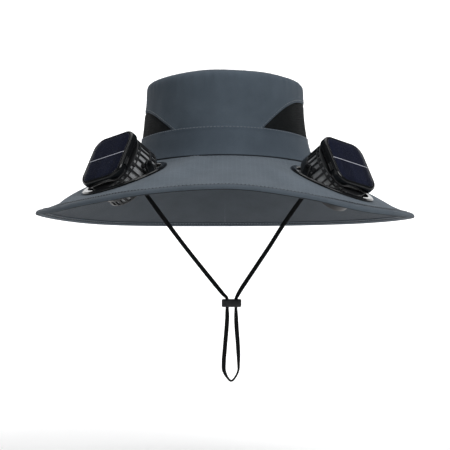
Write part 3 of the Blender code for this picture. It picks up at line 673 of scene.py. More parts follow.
# Share of the way from seam to edge, and how far a ring holds the cloth flat there
LIP_SHARE = 1 - BINDING_LIP / (BRIM_HALF_WIDTH - CROWN_HALF_WIDTH)
HOLDS = ((0, 0), (0.025, 1), (0.84, 1), (LIP_SHARE, 0.4), (1, 0))
PIVOT_HEIGHT = 9 * MM
FLANGE_RADIUS = 41 * MM
SLEEVE_RADIUS = 37.4 * MM
FLAT_MARGIN = 16 * MM
FLAT_FADE = 24 * MM
BRIM_WAVE = 0.9 * MM
HOLE_MARGIN = 1.6 * MM
HOLE_GAP = 0.4 * MM
RIPSTOP_PITCH = 4.2 * MM
UNDERSIDE_PITCH = 0.6 * MM

joints = {joint["name"]: joint for joint in frame["joints"]}


def frame_of(x_axis, z_axis, place):
    """A frame from two axes at right angles and its origin."""
    made = Matrix((x_axis, z_axis.cross(x_axis), z_axis)).transposed().to_4x4()
    made.translation = place
    return made


units, rings = {}, {}
for name in ("left", "right"):
    cross_axis = Vector(joints[name + "_tilt"]["axis"]).normalized()
    fan_axis = Vector(joints[name + "_spin"]["axis"]).normalized()
    units[name] = frame_of(cross_axis.cross(fan_axis), fan_axis, Vector(joints[name + "_tilt"]["pos_m"]))
    lean = math.radians(min(joints[name + "_tilt"]["range_deg"]))
    rings[name] = units[name] @ Matrix.Rotation(lean, 4, "Y") @ Matrix.Translation((0, 0, -PIVOT_HEIGHT))


def straight(rows, key):
    """A table's value at a key, on straight lines between its rows."""
    for low, high in zip(rows, rows[1:]):
        if key <= high[0]:
            break
    share = min(max((key - low[0]) / (high[0] - low[0]), 0), 1)
    return low[1] + share * (high[1] - low[1])


def level_ended(rows, key, column):
    """A table's column on a smooth curve that is level at both ends."""
    before = (2 * rows[0][0] - rows[1][0], *rows[1][1:])
    after = (2 * rows[-1][0] - rows[-2][0], *rows[-2][1:])
    return between((before, *rows, after), key, column)


def brim_spot(azimuth, share):
    """A point of the brim's upper side."""
    seam = oval(azimuth, CROWN_HALF_WIDTH, CROWN_HALF_DEPTH)
    edge = oval(azimuth, BRIM_HALF_WIDTH, BRIM_HALF_DEPTH)
    spot = seam.lerp(edge, share)
    from_front = math.remainder(azimuth, 2 * math.pi)
    column = 2 if from_front >= 0 else 1
    drop = BRIM_DROP * level_ended(RIM_DROPS, abs(math.degrees(from_front)), column)
    spot.z = (1 - share) * seam_height(azimuth) - share * drop - BRIM_BOW * 4 * share * (1 - share)
    loose = 1.0
    for ring in rings.values():
        normal = ring.col[2].to_3d()
        local = ring.inverted() @ spot
        fade = (FLANGE_RADIUS + FLAT_MARGIN + FLAT_FADE - math.hypot(local.x, local.y)) / FLAT_FADE
        fade = min(max(fade, 0), 1)
        weight = straight(HOLDS, share) * fade * fade * (3 - 2 * fade)
        offset = spot - ring.translation
        level = ring.translation.z - (offset.x * normal.x + offset.y * normal.y) / normal.z
        spot.z += weight * (level - spot.z)
        loose *= 1 - fade
    wave = noise.noise(Vector((spot.x * 16, spot.y * 16, 3)))
    spot.z += BRIM_WAVE * wave * loose * math.sin(math.pi * min(max(share, 0), 1))
    return spot


def brim_sheet(around, out):
    """A point of the brim's sheet, from inside the head opening to the cloth edge."""
    inner = -HEAD_INSET / (BRIM_HALF_WIDTH - CROWN_HALF_WIDTH)
    return brim_spot(2 * math.pi * around, inner + out * (1 - inner))


# The upper cloth is coloured lighter and the underside darker than the crown's slate, though the brim is one
# slate cloth: painted light on the upper side and painted shade on the underside.
ripstop = woven_finish("ripstop_upper_painted_light", (0.088, 0.108, 0.128), (0.160, 0.190, 0.222), THREAD_PITCH,
                       RIPSTOP_PITCH, 0.06)
underside_painted_shade = woven_finish("brim_underside_painted_shade", (0.042, 0.050, 0.060), (0.074, 0.087, 0.102), UNDERSIDE_PITCH)
brim = bmesh.new()
laid(brim, BRIM_COLUMNS, BRIM_ROWS_ACROSS, brim_sheet, (RIM_LENGTH, BRIM_HALF_WIDTH - CROWN_HALF_WIDTH), True)
charted(brim, lambda spot: spot.xy)
for ring in rings.values():
    to_ring = ring.inverted()

    def off_axis(vert, to_ring=to_ring):
        """Distance from the ring's axis."""
        local = to_ring @ vert.co
        return math.hypot(local.x, local.y)

    inside = [face for face in brim.faces
              if any(off_axis(vert) < SLEEVE_RADIUS + HOLE_MARGIN for vert in face.verts)]
    bmesh.ops.delete(brim, geom=inside, context="FACES")
    for vert in brim.verts:
        if vert.is_boundary and off_axis(vert) < FLANGE_RADIUS + 3 * MM:
            local = to_ring @ vert.co
            scale = (SLEEVE_RADIUS + HOLE_GAP) / math.hypot(local.x, local.y)
            vert.co = ring @ Vector((local.x * scale, local.y * scale, local.z))
brim_piece = fitted("brim_cloth", brim, [ripstop, underside_painted_shade], "hat", ["brim"])
backed(brim_piece, BRIM_CLOTH)
brim_piece.modifiers["thickness"].material_offset = 1


# Brim binding: a tape of the same cloth folded over the raw edge, sewn through with two rows of
# stitches. It is slightly puffed between the stitches and pulled in at each.
BINDING_COLUMNS = 900
BINDING_TAPE = 0.7 * MM
TAPE_WIDTH = 22
TAPE_THREAD = 0.8 * MM
STITCH_PITCH = 3.4 * MM
STITCH_PULL = 0.12 * MM
# Across the tape in mm, lines of painted shade: at its lips, its two rows of stitches and the fold below the
# edge
TAPE_SHADE_LINES = ((0.2, 0.5, 1.2), (4.2, 0.9, 1.9), (13.2, 0.4, 1.0), (17.8, 0.6, 1.5), (21.8, 0.5, 1.2))
# In mm: how far out from the cloth edge the stitches run, and the heights of their two rows
ROW_PLACE = -5.4
UPPER_ROW = 0.75
LOWER_ROW = -3.05
# The tape's section in mm: outwards from the cloth edge, and upwards from the brim's upper side
BINDING_SECTION = (
    (-7.6, 0.1), (-7.3, 0.7), (-6.5, 0.8), (-5.4, 0.45), (-3.6, 0.85), (-1.2, 1.15), (0.8, 0.9),
    (2.0, 0.0), (2.3, -1.1), (2.0, -2.3), (0.8, -3.3), (-1.2, -3.65), (-3.6, -3.5), (-5.4, -2.9),
    (-6.5, -3.25), (-7.3, -2.95), (-7.6, -2.3),
)

binding_cloth = woven_finish("binding_tape", (0.052, 0.066, 0.082), (0.100, 0.122, 0.146),
                             TAPE_THREAD, 0, 0.06)
plain_tape = woven_finish("tape_with_painted_shade", (0.056, 0.071, 0.088), (0.112, 0.137, 0.163), TAPE_THREAD, 0, 0.06)
# Painted shade: dark lines along the tape's lips, its stitch rows and the fold below the edge.
tape_with_painted_shade = painted_shade_lines(plain_tape, TAPE_SHADE_LINES)
section_curve = curved([Vector((out * MM, high * MM, 0)) for out, high in BINDING_SECTION], 3)


def rim_frame(azimuth):
    """The cloth edge's point, and the way that the cloth runs out there."""
    lip, edge = brim_spot(azimuth, LIP_SHARE), brim_spot(azimuth, 1)
    return edge, (edge - lip).normalized()


def binding_spot(around, over):
    """A point of the tape, from its upper lip round the edge to its lower lip."""
    azimuth = 2 * math.pi * around
    edge, out = rim_frame(azimuth)
    section = section_curve[round(over * (len(section_curve) - 1))]
    pull = STITCH_PULL * math.sin(around * RIM_LENGTH / STITCH_PITCH * math.pi)
    by_row = math.exp(-((section.x - ROW_PLACE * MM) / (1.6 * MM)) ** 2)
    up = section.y + math.copysign(pull * by_row, section.y + BRIM_CLOTH / 2)
    return edge + out * section.x + Vector((0, 0, up))


binding = bmesh.new()
laid(binding, BINDING_COLUMNS, len(section_curve) - 1, binding_spot, (RIM_LENGTH, TAPE_WIDTH * MM), True)
binding_piece = fitted("folded_binding", binding, [tape_with_painted_shade], "hat", ["brim_binding"])
backed(binding_piece, BINDING_TAPE)


# Topstitching: slate polyester thread, a little lighter than the cloth. Each stitch is a short
# rounded strand sunk at both ends, along the binding, the seams, the band and the vents.
STITCH_LENGTH = 2.6 * MM
STITCH_WIDTH = 0.62 * MM
BAND_STITCH_DROP = 1.4 * MM
ARCH_STITCH_RISE = 2.4 * MM

thread = finish("slate_thread", (0.12, 0.145, 0.17), 0.6, Sheen_Weight=0.3)
thread_twist = speckle(thread, in_space(thread), 2400)
feed(thread, Base_Color=tinted(thread, thread_twist, (0.085, 0.105, 0.125), (0.175, 0.205, 0.235)))
raised(thread, thread_twist, 0.08 * MM, 0.8)


def stitched(name, line):
    """A row of stitches along a line of close points."""
    spots, length = evenly(line, STITCH_PITCH)
    row = bmesh.new()
    for here, there in zip(spots, spots[1:]):
        turn = (there - here).to_track_quat("Z", "Y").to_matrix().to_4x4()
        size = Matrix.Diagonal((STITCH_WIDTH, STITCH_WIDTH, STITCH_LENGTH, 1))
        place = Matrix.Translation((here + there) / 2) @ turn @ size
        bmesh.ops.create_uvsphere(row, u_segments=6, v_segments=4, radius=0.5, matrix=place)
    return fitted(name, row, [thread], "hat")


def around_hat(place, count=1440, start=0.0, end=1.0):
    """Close points of place(azimuth) round the hat, or round a stretch of it."""
    return [place(2 * math.pi * (start + (end - start) * n / count)) for n in range(count + 1)]


def on_binding(out, high):
    """A line along the tape, at a place of its section in mm."""
    def place(azimuth):
        """One point of the line."""
        edge, outward = rim_frame(azimuth)
        return edge + outward * out * MM + Vector((0, 0, high * MM))
    return around_hat(place)


def on_arch(azimuth):
    """A point just above an arch, on its hem."""
    return crown_spot(azimuth, wall_line(azimuth) + ARCH_STITCH_RISE, WALL_INSET - HEM_RISE - 0.1 * MM)


stitched("binding_stitches_upper", on_binding(ROW_PLACE, UPPER_ROW))
stitched("binding_stitches_lower", on_binding(ROW_PLACE, LOWER_ROW))
stitched("brim_seam_stitches", around_hat(
    lambda azimuth: brim_spot(azimuth, 0.03) + Vector((0, 0, 0.12 * MM))))
stitched("band_stitches", around_hat(lambda azimuth: crown_spot(
    azimuth, seam_height(azimuth) + BAND_HEIGHT - BAND_STITCH_DROP, 0.7 * MM)))
stitched("brim_back_stitches", [brim_spot(math.pi, n / 400) - Vector((0, 0, BRIM_CLOTH + 0.1 * MM))
                                for n in range(20, 370)])
stitched("top_stitches", [top_spot(n / 1440, 0.05) + Vector((0, 0, 0.1 * MM)) for n in range(1441)])
for name, side in SIDES:
    middle = 0.25 if side > 0 else 0.75
    stitched(name + "_arch_stitches", around_hat(on_arch, 720, middle - 0.19, middle + 0.19))


# Cord tabs: short folded tapes under the brim at the hat's sides, which hold the ends of the
# chin cord.
TAB_LENGTH = 14 * MM
TAB_WIDTH = 6 * MM
TAB_THICKNESS = 1.6 * MM
TAB_GAP = 0.5 * MM
TAB_PUFF = 0.25 * MM

for name, side in SIDES:
    azimuth = side * math.pi / 2
    near, far = brim_spot(azimuth, 0.025), brim_spot(azimuth, 0.3)
    slope = (far - near).normalized()
    middle = near + Vector((0, 0, -BRIM_CLOTH - TAB_GAP - TAB_THICKNESS / 2))
    tab = bmesh.new()
    bmesh.ops.create_cube(tab, size=1)
    bmesh.ops.scale(tab, verts=tab.verts, vec=(TAB_WIDTH, TAB_LENGTH, TAB_THICKNESS))
    bmesh.ops.subdivide_edges(tab, edges=tab.edges[:], cuts=6, use_grid_fill=True)
    softened(tab, 0.35 * MM, 2, 50)
    for vert in tab.verts:
        puff = (1 - (2 * vert.co.x / TAB_WIDTH) ** 4) * (1 - (2 * vert.co.y / TAB_LENGTH) ** 4)
        vert.co.z += math.copysign(TAB_PUFF * puff, vert.co.z)
    tab.transform(frame_of(slope, slope.cross(Vector((0, 1, 0))).normalized(), middle))
    charted(tab, lambda spot: spot.xy)
    fitted(name + "_sewn_tab", tab, [binding_cloth], "hat", [name + "_cord_tab"])


# Fan rings: polished black mouldings clamped through the brim's holes, each a flange above and a
# ring below. Two round ears stand on the flange and carry the tilting fan.
BORE_RADIUS = 35.5 * MM
FLANGE = 2.2 * MM
LOWER_RING = 1.8 * MM
EAR_RADIUS = 3.7 * MM
EAR_THICKNESS = 3 * MM
EAR_INSET = 0.5 * MM
EAR_FOOT = PIVOT_HEIGHT - 1 * MM
PIN_RADIUS = 2.2 * MM
ROUND_STEPS = 96
FLANGE_SHOULDER = 0.62
FLANGE_CHAMFER = 1.4 * MM


def gloss_finish(name):
    """Polished black moulding with faint flow marks and handling smears."""
    made = finish(name, (0.005, 0.006, 0.007), 0.12, Specular_IOR_Level=0.32, Coat_Weight=0.06,
                  Coat_Roughness=0.04)
    place = in_space(made)
    smears = speckle(made, place, 45, 5, Roughness=0.65)
    feed(made, Base_Color=tinted(made, smears, (0.0030, 0.0036, 0.0042), (0.0075, 0.0085, 0.0100)),
         Roughness=ranged(made, smears, 0.3, 0.72, 0.08, 0.20))
    raised(made, speckle(made, place, 320), 0.03 * MM, 0.35)
    return made


def joined(target, part):
    """Add a finished shape to another mesh."""
    data = bpy.data.meshes.new("part")
    part.to_mesh(data)
    part.free()
    target.from_mesh(data)
    bpy.data.meshes.remove(data)


gloss_black = gloss_finish("polished_black_plastic")
for name in ("left", "right"):
    under = BRIM_CLOTH + CLOTH_GAP
    foot = -(under + CLOTH_GAP + LOWER_RING)
    flange_top = CLOTH_GAP + FLANGE
    ring = bmesh.new()
    turned(ring, ((BORE_RADIUS, foot), (SLEEVE_RADIUS, foot), (SLEEVE_RADIUS, CLOTH_GAP),
                  (FLANGE_RADIUS, CLOTH_GAP), (FLANGE_RADIUS, flange_top * FLANGE_SHOULDER),
                  (FLANGE_RADIUS - FLANGE_CHAMFER, flange_top), (BORE_RADIUS, flange_top)), ROUND_STEPS)
    outwards(ring)
    softened(ring, 0.4 * MM, 3, 25)
    for end in (-1, 1):
        ear = bmesh.new()
        bmesh.ops.create_circle(ear, cap_ends=True, segments=40, radius=EAR_RADIUS)
        for vert in ear.verts:
            if vert.co.y < 0:
                across = math.copysign(EAR_RADIUS, vert.co.x) if abs(vert.co.x) > TOUCHING else 0
                vert.co = (across, -EAR_FOOT * min(-vert.co.y / EAR_RADIUS, 1), 0)
        thickened(ear, EAR_THICKNESS)
        softened(ear, 0.7 * MM, 3, 40)
        near = end * (BORE_RADIUS + EAR_INSET) - (EAR_THICKNESS if end < 0 else 0)
        ear.transform(Matrix.Translation((0, near + EAR_THICKNESS, PIVOT_HEIGHT))
                      @ Matrix.Rotation(math.pi / 2, 4, "X"))
        joined(ring, ear)
    ring.transform(rings[name])
    fitted(name + "_moulded_ring", ring, [gloss_black], "hat", [name + "_ring"], 35)

    clamp = bmesh.new()
    inside, outside = SLEEVE_RADIUS + CLOTH_GAP, FLANGE_RADIUS - 1 * MM
    turned(clamp, ((inside, -under - LOWER_RING), (outside, -under - LOWER_RING), (outside, -under),
                   (inside, -under)), ROUND_STEPS)
    outwards(clamp)
    softened(clamp, 0.5 * MM, 3, 40)
    clamp.transform(rings[name])
    fitted(name + "_clamp_ring", clamp, [satin_black], "hat", [name + "_ring_lower"], 35)


# Fan drums: satin black cages of thirty bars, with short slots under the panel and long slots
# below them, over a pale shroud that shows through. Two stub pins turn in the ring's ears.
DRUM_RADIUS = 30.5 * MM
DRUM_TOP = 12 * MM
DRUM_BOTTOM = -14 * MM
DRUM_WALL = 1.6 * MM
DRUM_BARS = 30
DRUM_COLUMNS_A_BAR = 8
SHROUD_TOP = 10.4 * MM
SHROUD_BOTTOM = -12.8 * MM
SHROUD_THICKNESS = 0.8 * MM
SHROUD_RIB = 1.3 * MM
DECK_RING = 0.55
# Heights in mm from the deck down, and how many of each bar's columns are open below each height,
# on the left fan and on the right one
DRUM_LEVELS = ((12, 0, 0), (10.8, 4, 4), (8.2, 0, 0), (7.2, 6, 6), (-5.0, 0, 0), (-7.6, 5, 0), (-12.4, 0, 0),
               (-14.0, 0, 0))

# Painted light: the shroud's pale tone and its light and dark streaks stand in for the light seen through the
# drum's slots; the ribs are also a real bump.
shroud_painted_light = finish("pale_shroud_painted_light", (0.36, 0.37, 0.38), 0.35)
shroud_place = on_cloth(shroud_painted_light)
ribs_and_painted_streaks = bands(shroud_painted_light, shroud_place, SHROUD_RIB, "Y")
shroud_share = maths(shroud_painted_light, "MULTIPLY", ribs_and_painted_streaks, speckle(shroud_painted_light, shroud_place, 300, 3))
feed(shroud_painted_light, Base_Color=tinted(shroud_painted_light, shroud_share, (0.26, 0.27, 0.28), (0.60, 0.61, 0.62)))
raised(shroud_painted_light, ribs_and_painted_streaks, 0.3 * MM, 0.6)

for name in ("left", "right"):
    levels = [row[0] * MM for row in DRUM_LEVELS]
    open_columns = [row[1 if name == "left" else 2] for row in DRUM_LEVELS]
    columns, rows = DRUM_BARS * DRUM_COLUMNS_A_BAR, len(levels) - 1
    drum = bmesh.new()
    bmesh.ops.create_grid(drum, x_segments=columns, y_segments=rows, size=0.5)
    openings = []
    for face in drum.faces:
        middle = face.calc_center_median()
        column = int((middle.x + 0.5) * columns)
        if column % DRUM_COLUMNS_A_BAR < open_columns[int((0.5 - middle.y) * rows)]:
            openings.append(face)
    bmesh.ops.delete(drum, geom=openings, context="FACES")
    for vert in drum.verts:
        angle = 2 * math.pi * (vert.co.x + 0.5)
        height = levels[round((0.5 - vert.co.y) * rows)]
        vert.co = (DRUM_RADIUS * math.cos(angle), DRUM_RADIUS * math.sin(angle), height)
    merged(drum)
    upper_rim = [edge for edge in drum.edges if edge.is_boundary
                 and all(abs(vert.co.z - DRUM_TOP) < TOUCHING for vert in edge.verts)]
    deck = bmesh.ops.extrude_edge_only(drum, edges=upper_rim)
    bmesh.ops.scale(drum, verts=verts_in(deck), vec=(DECK_RING, DECK_RING, 1))
    inner_rim = [item for item in deck["geom"] if isinstance(item, bmesh.types.BMEdge) and item.is_boundary]
    bmesh.ops.contextual_create(drum, geom=inner_rim)
    outwards(drum)
    if sum(face.normal.z for face in drum.faces if face.calc_center_median().z > DRUM_TOP - TOUCHING) < 0:
        bmesh.ops.reverse_faces(drum, faces=drum.faces)
    bmesh.ops.solidify(drum, geom=drum.faces[:], thickness=DRUM_WALL)
    softened(drum, 0.22 * MM, 1, 50)
    length = BORE_RADIUS + EAR_THICKNESS + EAR_INSET - DRUM_RADIUS + DRUM_WALL / 2
    for end in (-1, 1):
        place = Matrix.Translation((0, end * (DRUM_RADIUS - DRUM_WALL / 2 + length / 2), 0))
        rod(drum, 24, PIN_RADIUS, length, place @ Matrix.Rotation(math.pi / 2, 4, "X"))
    black_faces = set(drum.faces)
    inside = DRUM_RADIUS - DRUM_WALL + 0.05 * MM
    turned(drum, ((inside, SHROUD_BOTTOM), (inside, SHROUD_TOP), (inside - SHROUD_THICKNESS, SHROUD_TOP),
                  (inside - SHROUD_THICKNESS, SHROUD_BOTTOM)), ROUND_STEPS)
    shroud_faces = [face for face in drum.faces if face not in black_faces]
    outwards(drum, shroud_faces)
    for face in shroud_faces:
        face.material_index = 1
    charted(drum, lambda spot: (math.atan2(spot.y, spot.x) * DRUM_RADIUS, spot.z), shroud_faces)
    drum.transform(units[name])
    fitted(name + "_slotted_drum", drum, [satin_black, shroud_painted_light], name + "_fan",
           [name + "_fan_drum"], 35)


# Fan guards: the grille snapped into each drum's rear end, five spokes that carry thin rings round
# a closed middle disc.
GUARD_THICKNESS = 1.6 * MM
GUARD_SPOKES = 5
GUARD_SPOKE = 20 * MM
# Radius and width of each ring, in mm
GUARD_RINGS = ((14.3, 2.1), (18.4, 1.2), (21.6, 1.2), (24.9, 1.2), (27.4, 2.4))
HUB_RADIUS = 8.5 * MM

for name in ("left", "right"):
    guard = bmesh.new()
    middle = DRUM_BOTTOM + GUARD_THICKNESS / 2
    for radius, width in GUARD_RINGS:
        half, deep = width / 2 * MM, GUARD_THICKNESS / 2
        turned(guard, ((radius * MM - half, middle - deep), (radius * MM + half, middle - deep),
                       (radius * MM + half, middle + deep), (radius * MM - half, middle + deep)), ROUND_STEPS)
    rod(guard, ROUND_STEPS, HUB_RADIUS, GUARD_THICKNESS, Matrix.Translation((0, 0, middle)))
    for spoke in range(2 * GUARD_SPOKES):
        width = (2.2 if spoke % 2 == 0 else 1.2) * MM
        place = (Matrix.Rotation(math.pi * spoke / GUARD_SPOKES + math.pi / 20, 4, "Z")
                 @ Matrix.Translation((HUB_RADIUS + GUARD_SPOKE / 2 - 1 * MM, 0, middle))
                 @ Matrix.Diagonal((GUARD_SPOKE, width, GUARD_THICKNESS, 1)))
        bmesh.ops.create_cube(guard, size=1, matrix=place)
    outwards(guard)
    softened(guard, 0.3 * MM, 2, 50)
    guard.transform(units[name])
    fitted(name + "_rear_grille", guard, [satin_black], name + "_fan",
           [name + "_fan_guard"], 35)


# Fan motors: small steel cans fixed under each drum's deck, with a rolled edge.
MOTOR_RADIUS = 11 * MM
MOTOR_LENGTH = 10 * MM
MOTOR_TOP = DRUM_TOP - DRUM_WALL - CLOTH_GAP

motor_steel = finish("drawn_steel_can", (0.45, 0.46, 0.48), 0.32, Metallic=1.0)
draw_marks = speckle(motor_steel, in_space(motor_steel), 900, 3)
feed(motor_steel, Base_Color=tinted(motor_steel, draw_marks, (0.36, 0.37, 0.39), (0.55, 0.56, 0.58)),
     Roughness=ranged(motor_steel, draw_marks, 0.2, 0.8, 0.24, 0.42))
for name in ("left", "right"):
    can = bmesh.new()
    rod(can, 64, MOTOR_RADIUS, MOTOR_LENGTH, Matrix.Translation((0, 0, MOTOR_TOP - MOTOR_LENGTH / 2)))
    lid = min(can.faces, key=lambda face: face.calc_center_median().z)
    bmesh.ops.inset_region(can, faces=[lid], thickness=2 * MM, depth=0)
    bmesh.ops.inset_region(can, faces=[lid], thickness=0.3 * MM, depth=-0.5 * MM)
    softened(can, 0.5 * MM, 3, 40)
    can.transform(units[name])
    fitted(name + "_motor_can", can, [motor_steel], name + "_fan", [name + "_fan_motor"], 35)


# Impellers: five twisted blades moulded on a round hub, hung on the motor's shaft.
HUB_LENGTH = 7 * MM
BLADE_COUNT = 5
BLADE_REACH = 26 * MM
BLADE_ROOT = HUB_RADIUS * 0.85
BLADE_THICKNESS = 0.96 * MM
BLADE_CAMBER = 0.8 * MM
# Share of the way along the blade, its chord in mm and its pitch in degrees
BLADE_STATIONS = ((0.0, 8, 38), (0.5, 10.5, 30), (1.0, 13, 22))
HUB_TOP = MOTOR_TOP - MOTOR_LENGTH - CLOTH_GAP
HUB_MIDDLE = HUB_TOP - HUB_LENGTH / 2

for name in ("left", "right"):
    rotor = bmesh.new()
    rod(rotor, 48, HUB_RADIUS, HUB_LENGTH, Matrix.Translation((0, 0, HUB_MIDDLE)), HUB_RADIUS * 0.92)
    softened(rotor, 1 * MM, 3, 40)
    for number in range(BLADE_COUNT):
        blade = bmesh.new()
        bmesh.ops.create_grid(blade, x_segments=10, y_segments=10, size=0.5)
        for vert in blade.verts:
            along, across = vert.co.x + 0.5, vert.co.y
            chord = between(BLADE_STATIONS, along, 1) * MM
            pitch = math.radians(between(BLADE_STATIONS, along, 2))
            rounded = 1 - 0.35 * max(along - 0.7, 0) / 0.3 * (2 * across) ** 2
            reach = BLADE_ROOT + (BLADE_REACH - BLADE_ROOT) * along * rounded
            camber = BLADE_CAMBER * (1 - (2 * across) ** 2)
            vert.co = (reach, chord * across * math.cos(pitch) - camber * math.sin(pitch),
                       HUB_MIDDLE + chord * across * math.sin(pitch) * 0.9 + camber * 0.3)
        bmesh.ops.solidify(blade, geom=blade.faces[:], thickness=BLADE_THICKNESS)
        outwards(blade)
        softened(blade, 0.3 * MM, 2, 60)
        blade.transform(Matrix.Rotation(2 * math.pi * number / BLADE_COUNT, 4, "Z"))
        joined(rotor, blade)
    rotor.transform(units[name])
    fitted(name + "_moulded_impeller", rotor, [satin_black], name + "_rotor",
           [name + "_impeller"], 40)


# Panel housings: polished black cases with round corners and edges, in two shells that meet in a
# fine groove. The bezel stands a little proud round the recess for the solar cell.
PANEL_HALF = 26.8 * MM
PANEL_CORNER = 12.5 * MM
PANEL_DEPTH = 8.7 * MM
PANEL_ROLL = math.radians(12.5)
CELL_HALF = 23.6 * MM
CELL_THICKNESS = 1.2 * MM
HOUSING_LOW = DRUM_TOP + CLOTH_GAP
HOUSING_HIGH = HOUSING_LOW + PANEL_DEPTH
SQUARE_COLUMNS = 144
# Inwards from the case's outline and upwards from its back, both in mm
CASE_SECTION = (
    (26.8, 0.0), (14.0, 0.0), (3.2, 0.0), (2.0, 0.12), (1.05, 0.55), (0.4, 1.2), (0.08, 2.0),
    (0.0, 2.8), (0.0, 3.75), (0.28, 3.85), (0.28, 4.1), (0.0, 4.2), (0.0, 5.6), (0.1, 6.6),
    (0.42, 7.45), (1.0, 8.15), (1.7, 8.55), (2.3, 8.7), (2.75, 8.6), (2.85, 8.2), (2.9, 7.2),
    (14.0, 7.2), (26.8, 7.2),
)


def rounded_square(half, corner, around):
    """A point of a square's outline with true round corners, at a share of its length."""
    straight_run = 2 * (half - corner)
    quarter = straight_run + math.pi / 2 * corner
    walked = (around % 1) * 4 * quarter
    number = int(walked // quarter) % 4
    rest = walked - number * quarter
    if rest < straight_run:
        spot = Vector((half, -straight_run / 2 + rest, 0))
    else:
        turn = (rest - straight_run) / max(corner, 1e-9)
        spot = Vector((half - corner + corner * math.cos(turn), half - corner + corner * math.sin(turn), 0))
    return Matrix.Rotation(number * math.pi / 2, 3, "Z") @ spot


def square_piece(section, half, corner, base):
    """A closed round-cornered slab from a section that starts and ends in its middle."""
    slab = bmesh.new()

    def place(around, up):
        """A point of the slab, round its outline and up its section."""
        inwards, high = section[round(up * (len(section) - 1))]
        outline = rounded_square(half, corner, around)
        inset = min(inwards * MM, half)
        share = (half - inset) / half
        inner_corner = max(corner - inset, corner * share * 0.5)
        spot = rounded_square(half - inset, inner_corner, around) if share > 0.3 else outline * share
        return spot + Vector((0, 0, base + high * MM))

    laid(slab, SQUARE_COLUMNS, len(section) - 1, place, (1, 1))
    merged(slab)
    charted(slab, lambda spot: (spot.x / (2 * half) + 0.5, spot.y / (2 * half) + 0.5))
    outwards(slab)
    return slab


panels = {}
for name, side in SIDES:
    face_normal = units[name].col[2].to_3d()
    level_axis = Vector((0, 0, 1)).cross(face_normal).normalized()
    panels[name] = (frame_of(level_axis, face_normal, units[name].translation)
                    @ Matrix.Rotation(-side * PANEL_ROLL, 4, "Z"))
    case = square_piece(CASE_SECTION, PANEL_HALF, PANEL_CORNER, HOUSING_LOW)
    case.transform(panels[name])
    fitted(name + "_panel_case", case, [gloss_black], name + "_fan",
           [name + "_panel_housing"], 40)


# Solar cells: dark blue silicon under clear resin, split in two by a bright bus bar, with ten
# cells whose joints show as fine dark lines.
# Inwards from the cell's outline and upwards from its back, both in mm
CELL_SECTION = (
    (23.6, 0.0), (12.0, 0.0), (0.3, 0.0), (0.0, 0.3), (0.0, 0.95), (0.12, 1.12), (0.4, 1.2),
    (6.0, 1.22), (14.0, 1.25), (23.6, 1.25),
)
BUS_BAR_WIDTH = 0.7
CELLS_ACROSS = 5

silicon = finish("blue_silicon", (0.008, 0.010, 0.024), 0.2, Specular_IOR_Level=0.2, Coat_Weight=0.05,
                 Coat_Roughness=0.05)
silicon_chart = on_cloth(silicon)
cell_x, cell_y = (step(silicon, "SeparateXYZ", {0: silicon_chart}, output) for output in (0, 1))
column_share = maths(silicon, "FRACT", maths(silicon, "MULTIPLY", cell_x, CELLS_ACROSS), 0)
from_joint = maths(silicon, "PINGPONG", column_share, 0.5)
joint_line = maths(silicon, "LESS_THAN", from_joint, 0.02)
fingers = maths(silicon, "SINE", maths(silicon, "MULTIPLY", cell_y, 2 * math.pi * 34), 0)
column = maths(silicon, "FLOOR", maths(silicon, "MULTIPLY", cell_x, CELLS_ACROSS), 0)
half_number = maths(silicon, "GREATER_THAN", cell_y, 0.5)
number = maths(silicon, "ADD", column, maths(silicon, "MULTIPLY", half_number, 7))
tone = step(silicon, "TexWhiteNoise", {"W": number}, noise_dimensions="1D")
crystal = speckle(silicon, silicon_chart, 9, 6, Roughness=0.7)
tone = maths(silicon, "ADD", maths(silicon, "MULTIPLY", tone, 0.5), maths(silicon, "MULTIPLY", crystal, 0.5))
tone = maths(silicon, "ADD", tone, maths(silicon, "MULTIPLY", fingers, 0.06))
cell_color = tinted(silicon, tone, (0.0040, 0.0050, 0.013), (0.011, 0.014, 0.032))
dark_lines = step(silicon, "Mix", {0: joint_line, 6: cell_color, 7: (0.002, 0.0025, 0.005, 1)}, 2,
                  data_type="RGBA")
from_middle = maths(silicon, "ABSOLUTE", maths(silicon, "SUBTRACT", cell_y, 0.5), 0)
bus_bar = maths(silicon, "LESS_THAN", from_middle, BUS_BAR_WIDTH * MM / 2 / (2 * CELL_HALF))
with_bar = step(silicon, "Mix", {0: bus_bar, 6: dark_lines, 7: (0.55, 0.56, 0.62, 1)}, 2, data_type="RGBA")
feed(silicon, Base_Color=with_bar)
for name in ("left", "right"):
    cell = square_piece(CELL_SECTION, CELL_HALF, PANEL_CORNER - (PANEL_HALF - CELL_HALF),
                        HOUSING_HIGH - CELL_THICKNESS)
    cell.transform(panels[name])
    fitted(name + "_silicon_cell", cell, [silicon], name + "_fan", [name + "_solar_cell"], 40)


# Panel switches: a small charging socket in a raised frame on the inner side of each case.
SWITCH_LENGTH = 8 * MM
SWITCH_HEIGHT = 3 * MM
SWITCH_THICKNESS = 1 * MM
SWITCH_OFFSET = 9 * MM

